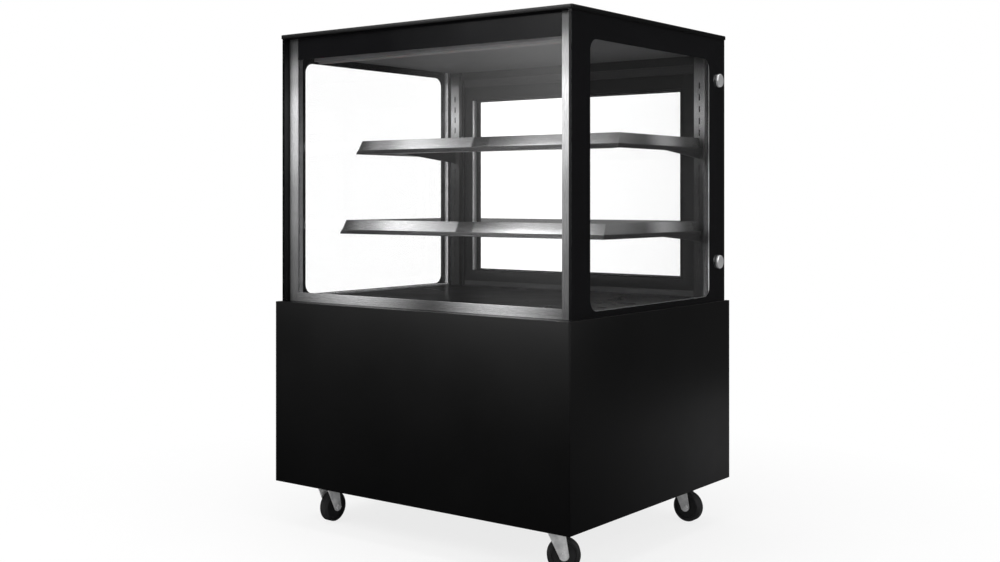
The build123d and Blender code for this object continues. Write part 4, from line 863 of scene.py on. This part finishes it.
# %% Run the silicone
silicone_radius = 0.0014
silicone_width = 0.8
silicone_round = 0.0004
silicone_length = trim_high.z - trim_low.z - 0.004
corner_x = trim_high.x - 0.0008
corner_z = (trim_high.z + trim_low.z) / 2
front_corner_y = trim_low.y - 0.0004
rear_corner_y = front_glass_high.y + 0.0006
corner_beads = []
for side in (-1, 1):
    for y in (front_corner_y, rear_corner_y):
        deselect()
        bpy.ops.mesh.primitive_cylinder_add(
            vertices=12, radius=silicone_radius, depth=silicone_length,
            location=(side * corner_x, y, corner_z),
        )
        bead = bpy.context.object
        edit(bead)
        bpy.ops.transform.resize(value=(silicone_width, 1, 1))
        close_edit()
        round_edges(bead, silicone_round, limit=60)
        corner_beads.append(bead)
settle(joined(corner_beads), "corner_silicone", "black_silicone", "cabinet")

# %% [markdown]
# ## A screw head with a cross recess
#
# The rear sheets are held by pan-head screws. A short cylinder gets a rounded top by two insets that
# are pushed up. Its cross recess could be drawn in the relief, but it is deep enough to show from
# the side, so two thin bars are cut out of the head with a boolean.

# %% Model one head
head_radius = 0.0046
head_height = 0.0016
head_round = 0.0002
dome_steps = ((0.0009, 0.0007), (0.0014, 0.0004))
recess_height = 0.0019
recess_length = 0.0046
recess_width = 0.0009
recess_depth = 0.0018
deselect()
bpy.ops.mesh.primitive_cylinder_add(vertices=32, radius=head_radius, depth=head_height, location=(0, 0, 0))
head = bpy.context.object
edit(head)
pick_faces(head, lambda face: face.normal.z > 0.8)
for inset, rise in dome_steps:
    bpy.ops.mesh.inset(thickness=inset)
    bpy.ops.transform.translate(value=(0, 0, rise))
close_edit()
round_edges(head, head_round, limit=30)
for size in ((recess_length, recess_width, recess_depth), (recess_width, recess_length, recess_depth)):
    bar = block((0, 0, recess_height), size)
    cut = head.modifiers.new("cross", "BOOLEAN")
    cut.object = bar
    only(head)
    bpy.ops.object.modifier_apply(modifier=cut.name)
    bpy.data.objects.remove(bar)
print("head", len(head.data.polygons), "faces")

# %% [markdown]
# ## A head for each rear screw
#
# The lower two screws on each side hold the louvred panel, the upper two the control panel. Each
# copy has its own mesh, and its cross is turned a little further from row to row, because no
# fitter stops every screw at the same angle.

# %% Place the heads
screw_rows = (0.1455, 0.359, 0.403, 0.543)
screw_edge = 0.0125
screw_stand = 0.0005
row_turn = 17
_, base_frame_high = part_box("base_frame")
_, fixings_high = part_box("fixings")
screw_x = base_frame_high.x - screw_edge
heads = []
for side in (-1, 1):
    for z in screw_rows:
        copy = head.copy()
        copy.data = head.data.copy()
        scene.collection.objects.link(copy)
        copy.location = (side * screw_x, fixings_high.y - head_height / 2 + screw_stand, z)
        copy.rotation_euler = (math.radians(-90), math.radians(row_turn * (z * 100 % 5)), 0)
        heads.append(copy)
bpy.data.objects.remove(head)
settle(joined(heads), "rear_screw_heads", "zinc_plate", "cabinet")

# %% [markdown]
# ## Display digits
#
# The controller shows a temperature in seven-segment digits. A segment is a long hexagon, drawn as
# a circle of six points whose points are moved to their places, and extruded a little, so it stands
# on the window like a print. Makers give the segments the letters that are used here.


# %% Draw a raised mark
print_thickness = 0.0001
start_radius = 0.001


def raised_mark(points, y):
    """A flat outline in the X-Z plane, seen from behind, raised towards the back."""
    deselect()
    bpy.ops.mesh.primitive_circle_add(vertices=len(points), radius=start_radius, fill_type="NGON")
    mark = bpy.context.object
    edit(mark)
    mesh = bmesh.from_edit_mesh(mark.data)
    for vertex, (x, z) in zip(mesh.verts, points):
        vertex.co = (x, y, z)
    bmesh.update_edit_mesh(mark.data)
    bpy.ops.mesh.extrude_region_move(TRANSFORM_OT_translate={"value": (0, print_thickness, 0)})
    close_edit(turn_outwards=True)
    return mark


def segment(x, z, length, thick, upright):
    """The six points of a display segment."""
    tip = length / 2
    half = thick / 2
    flat = tip - half
    outline = [(-tip, 0), (-flat, half), (flat, half), (tip, 0), (flat, -half), (-flat, -half)]
    if upright:
        return [(x + v, z + u) for u, v in outline]
    return [(x + u, z + v) for u, v in outline]


def disc(x, z, radius, sides):
    """The points of a small round mark."""
    turns = [math.tau * i / sides for i in range(sides)]
    return [(x + radius * math.cos(turn), z + radius * math.sin(turn)) for turn in turns]


print("marks stand", print_thickness, "proud")

# %% [markdown]
# ## A temperature on the window
#
# Two digits with a decimal point between them fill the window. They are seen from behind the case,
# where left and right change places, so a digit's right-hand side lies towards minus X.

# %% Light the digits
digit_pitch = 0.009
segment_pitch = 0.0042
segment_thickness = 0.0009
segment_gap = 0.0004
dot_radius = 0.0004
segment_places = {
    "a": (0, 1, False), "b": (0.5, 0.5, True), "c": (0.5, -0.5, True), "d": (0, -1, False),
    "f": (-0.5, 0.5, True), "g": (0, 0, False),
}
display_low, display_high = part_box("controller_display")
middle_x = (display_low.x + display_high.x) / 2
middle_z = (display_low.z + display_high.z) / 2
digit_marks = []
for i, lit in enumerate(("abgcd", "afgcd")):
    digit_x = middle_x + digit_pitch / 2 - i * digit_pitch
    for letter in lit:
        right, up, upright = segment_places[letter]
        x = digit_x - right * segment_pitch
        z = middle_z + up * segment_pitch
        outline = segment(x, z, segment_pitch - segment_gap, segment_thickness, upright)
        digit_marks.append(raised_mark(outline, display_high.y))
dot = disc(middle_x - dot_radius, middle_z - segment_pitch, dot_radius, 5)
digit_marks.append(raised_mark(dot, display_high.y))
settle(joined(digit_marks), "display_digits", "red_segments", "cabinet")

# %% [markdown]
# ## Symbols on the keys
#
# The keys carry plain symbols that need no language: a triangle up, a triangle down, and a dot to
# set. Each rides with its key, so it goes in with it.

# %% Print the key symbols
key_symbols = {
    "up_key": [(0, 0.0014), (-0.0016, -0.001), (0.0016, -0.001)],
    "down_key": [(0, -0.0014), (0.0016, 0.001), (-0.0016, 0.001)],
    "set_key": disc(0, 0, 0.0011, 8),
}
for key, points in key_symbols.items():
    low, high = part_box(key)
    key_x = (low.x + high.x) / 2
    key_z = (low.z + high.z) / 2
    outline = [(key_x + x, key_z + z) for x, z in points]
    settle(raised_mark(outline, high.y), f"{key}_symbol", "white_print", key)

# %% [markdown]
# ## Bars and rings on the rockers
#
# A rocker carries a bar for on and a ring for off. The two ends of a rocker slope, so each mark is
# laid on the face that a ray from behind meets, and turned to its normal. The bar is a bevelled
# box, the ring a flattened torus.


# %% Mark the rockers
def lay_on(piece, node, x, z):
    """Turn and move a flat mark, made in the X-Y plane, onto a node's rear face."""
    _, where, normal, _ = nodes[node].ray_cast(Vector((x, 1.0, z)), Vector((0, -1, 0)))
    piece.rotation_euler = normal.to_track_quat("Z", "Y").to_euler()
    piece.location = where


bar_size = (0.0008, 0.004, 0.0002)
bar_round = 0.00006
ring_radius = 0.0018
ring_stroke = 0.0004
ring_flatness = 0.3
for node, slot in (("power_rocker", "rocker_red"), ("light_rocker", "rocker_green")):
    low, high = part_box(node)
    middle_x = (low.x + high.x) / 2
    middle_z = (low.z + high.z) / 2
    quarter = (high.z - low.z) / 4
    bar = block((0, 0, 0), bar_size)
    round_edges(bar, bar_round, 1)
    lay_on(bar, node, middle_x, middle_z + quarter)
    deselect()
    bpy.ops.mesh.primitive_torus_add(
        major_radius=ring_radius, minor_radius=ring_stroke, major_segments=32, minor_segments=8,
    )
    ring = bpy.context.object
    edit(ring)
    bpy.ops.transform.resize(value=(1, 1, ring_flatness))
    close_edit()
    lay_on(ring, node, middle_x, middle_z - quarter)
    settle(joined([bar, ring]), f"{node}_marks", "white_print", node)

# %% [markdown]
# ## Soft edges on the sheets
#
# No folded sheet has a knife edge: a narrow round catches a line of light along each corner. A solid
# of the frame may not be changed, so its mesh is copied, its loose triangles are merged into clean
# faces, and a bevel rounds the sharp edges. The copy then stands for the solid, which is hidden.

# %% Copy and soften a solid
merge_distance = 0.000003
flat_angle = math.radians(0.8)


def soft_edged(node, width):
    """A merged copy of a solid with its sharp edges rounded, which stands for the solid."""
    body = nodes[node]["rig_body"]
    only(nodes[node])
    bpy.ops.object.duplicate()
    piece = bpy.context.object
    for key in list(piece.keys()):
        del piece[key]
    edit(piece)
    bpy.ops.mesh.remove_doubles(threshold=merge_distance)
    bpy.ops.mesh.dissolve_limited(angle_limit=flat_angle)
    close_edit()
    round_edges(piece, width)
    settle(piece, f"{node}_soft", finish_of[node], body)
    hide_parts(node)


edge_rounds = {
    "lid": 0.0005, "front_panel": 0.0005, "left_panel": 0.0005, "right_panel": 0.0005,
    "control_fascia": 0.0004, "rear_frame": 0.0008, "glass_buttons": 0.0006,
    "left_door_frame": 0.0007, "right_door_frame": 0.0007,
    "lower_shelf_frame": 0.0003, "upper_shelf_frame": 0.0003,
    "temperature_controller": 0.0006, "switch_housings": 0.0005,
}
for node, width in edge_rounds.items():
    soft_edged(node, width)

# %% [markdown]
# ## The floor
#
# The floor is a pale disc that fades into a white room, so no horizon shows. The camera sees it as
# nearly white, also through glass, and near the case part of its tone still comes from the lamps,
# which keeps a faint shadow. Where gloss or metal mirrors it, it is dark, and darkest in front, so
# black paint stays black. Matt surfaces get the light of a plain pale floor.

# %% Lay the floor
floor_radius = 2.6
deselect()
bpy.ops.mesh.primitive_circle_add(vertices=96, radius=floor_radius, fill_type="NGON", location=(0, 0, 0))
floor = bpy.context.object
floor.name = "floor"
floor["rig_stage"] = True

tree, shader = new_finish("pale_floor")
shader.inputs["Roughness"].default_value = 0.9
shader.inputs["Specular IOR Level"].default_value = 0.1
dust = spread(tree, pattern(tree, scale=3), 0, 1)
tone = blend_colours(tree, dust, (0.86, 0.86, 0.86), (0.9, 0.9, 0.9))
tree.links.new(tone, shader.inputs["Base Color"])
floor.data.materials.append(finishes["pale_floor"])
print("floor", [round(v, 2) for v in floor.dimensions])

# %% [markdown]
# ## How each ray sees the floor
#
# The Light Path node tells what a ray has met before. Depths count the bounces of each kind, so a
# ray that has only crossed glass has a glossy depth of 0 and is treated as a look from the camera.

# %% Mix the floor's three looks
light_path = put(tree, "ShaderNodeLightPath").outputs
lit = shader.outputs["BSDF"]
place = put(tree, "ShaderNodeTexCoord")
distance = put(tree, "ShaderNodeVectorMath", operation="LENGTH")
tree.links.new(place.outputs["Object"], distance.inputs[0])
fade = spread(tree, distance.outputs["Value"], 0.8, 1.0, 0.5, 1.5)
glow = put(tree, "ShaderNodeEmission", {"Color": (1, 1, 1, 1), "Strength": 1.0})
seen = blend_shaders(tree, fade, lit, glow.outputs["Emission"])
backwards = spread(tree, object_axes(tree)["Y"], 0, 1, -0.4, 0.9)
shade = blend_colours(tree, backwards, (0.03, 0.03, 0.031), (0.25, 0.25, 0.255))
dim = put(tree, "ShaderNodeEmission", {"Strength": 1.0})
tree.links.new(shade, dim.inputs["Color"])
mirrored = combine(tree, "GREATER_THAN", light_path["Glossy Depth"], 0.5)
look = blend_shaders(tree, mirrored, seen, dim.outputs["Emission"])
look = blend_shaders(tree, light_path["Is Diffuse Ray"], look, lit)
tree.links.new(look, tree.nodes["Material Output"].inputs["Surface"])
print("floor has", len(tree.nodes), "nodes")

# %% [markdown]
# ## The room that metal and gloss mirror
#
# Black gloss and steel show what stands round them. A plain white room would turn them grey, so
# they mirror a dark studio instead: a bright wall behind the camera that ends at the floor, a soft
# light overhead, and a faint sheet of paper behind the case.

# %% Build the mirrored room
world = bpy.data.worlds.new("white_room")
scene.world = world
world.use_nodes = True
tree = world.node_tree
ray = put(tree, "ShaderNodeTexCoord").outputs["Generated"]
to_paper = (-0.6, 0.8, 0.0)
to_bright_wall = (0.62, -0.78, 0.0)
upwards = (0.0, 0.0, 1.0)


def towards(direction, low, high, start, end):
    """A value that rises as the ray turns towards a direction."""
    facing = put(tree, "ShaderNodeVectorMath", {1: direction}, operation="DOT_PRODUCT")
    tree.links.new(ray, facing.inputs[0])
    return spread(tree, facing.outputs["Value"], low, high, start, end)


paper = towards(to_paper, low=0.04, high=0.14, start=0.7, end=1.0)
bright_wall = towards(to_bright_wall, low=0.04, high=0.8, start=0.16, end=0.3)
above_floor = towards(upwards, low=0.08, high=1.0, start=-0.12, end=0.12)
overhead = towards(upwards, low=0.0, high=0.65, start=0.3, end=0.6)
walls = combine(tree, "MAXIMUM", paper, combine(tree, "MULTIPLY", bright_wall, above_floor))
brightness = combine(tree, "MAXIMUM", walls, overhead)
black = (0.0, 0.0, 0.0)
white = (1.0, 1.0, 1.0)
room = blend_colours(tree, brightness, black, white)
print("room has", len(tree.nodes), "nodes")

# %% [markdown]
# ## The white background
#
# Where the camera looks past the case or through its panes, the world is plain white. Each pane
# takes a little of the light, so behind glass the white is made stronger. After a matt surface the
# world is an even grey, which fills the shadows softly.

# %% Colour the world
light_path = put(tree, "ShaderNodeLightPath").outputs
bounced = combine(tree, "ADD", light_path["Diffuse Depth"], light_path["Glossy Depth"])
direct = combine(tree, "LESS_THAN", bounced, 0.5)
after_matt = combine(tree, "GREATER_THAN", light_path["Diffuse Depth"], 0.5)
fill_grey = (0.45, 0.45, 0.45)
indirect = blend_colours(tree, after_matt, room, fill_grey)
view = blend_colours(tree, direct, indirect, white)
behind_glass = combine(tree, "GREATER_THAN", light_path["Transmission Depth"], 0.5)
lift = combine(tree, "MULTIPLY", behind_glass, direct)
background = tree.nodes["Background"]
strength = spread(tree, lift, 1.0, 1.4, start=0.0, end=1.0)
tree.links.new(strength, background.inputs["Strength"])
tree.links.new(view, background.inputs["Color"])
print("world has", len(tree.nodes), "nodes")

# %% [markdown]
# ## Soft lamps
#
# One large soft lamp stands high at the front left, one weaker at the right, and a long one hangs
# over the case. The camera doesn't see them, but steel and glass do.


# %% Hang the lamps
def soft_lamp(name, place, target, size, watts):
    """A rectangular lamp that faces its target."""
    data = bpy.data.lights.new(name, "AREA")
    data.shape = "RECTANGLE"
    data.size = size[0]
    data.size_y = size[1]
    data.energy = watts
    lamp = bpy.data.objects.new(name, data)
    lamp.location = place
    aim = Vector(target) - Vector(place)
    lamp.rotation_euler = aim.to_track_quat("-Z", "Y").to_euler()
    lamp.visible_camera = False
    scene.collection.objects.link(lamp)
    print(name, watts, "W")


soft_lamp("front_lamp", place=(-1.3, -2.6, 2.3), target=(0.1, -0.2, 0.7), size=(1.6, 1.2), watts=55)
soft_lamp("side_lamp", place=(3.0, 0.2, 1.9), target=(0.3, 0, 0.7), size=(1.4, 1.4), watts=18)
soft_lamp("top_lamp", place=(0.2, -0.1, 3.2), target=(0, 0, 1.2), size=(2.0, 1.6), watts=45)

# %% [markdown]
# ## The size of the dressed object
#
# The box of the dressed object, floor left out, is printed. The dressed object has to stay
# within the solids' box.

# %% Write the sizes and finish
low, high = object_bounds()
print("visual box", [round(v, 3) for v in low], [round(v, 3) for v in high])
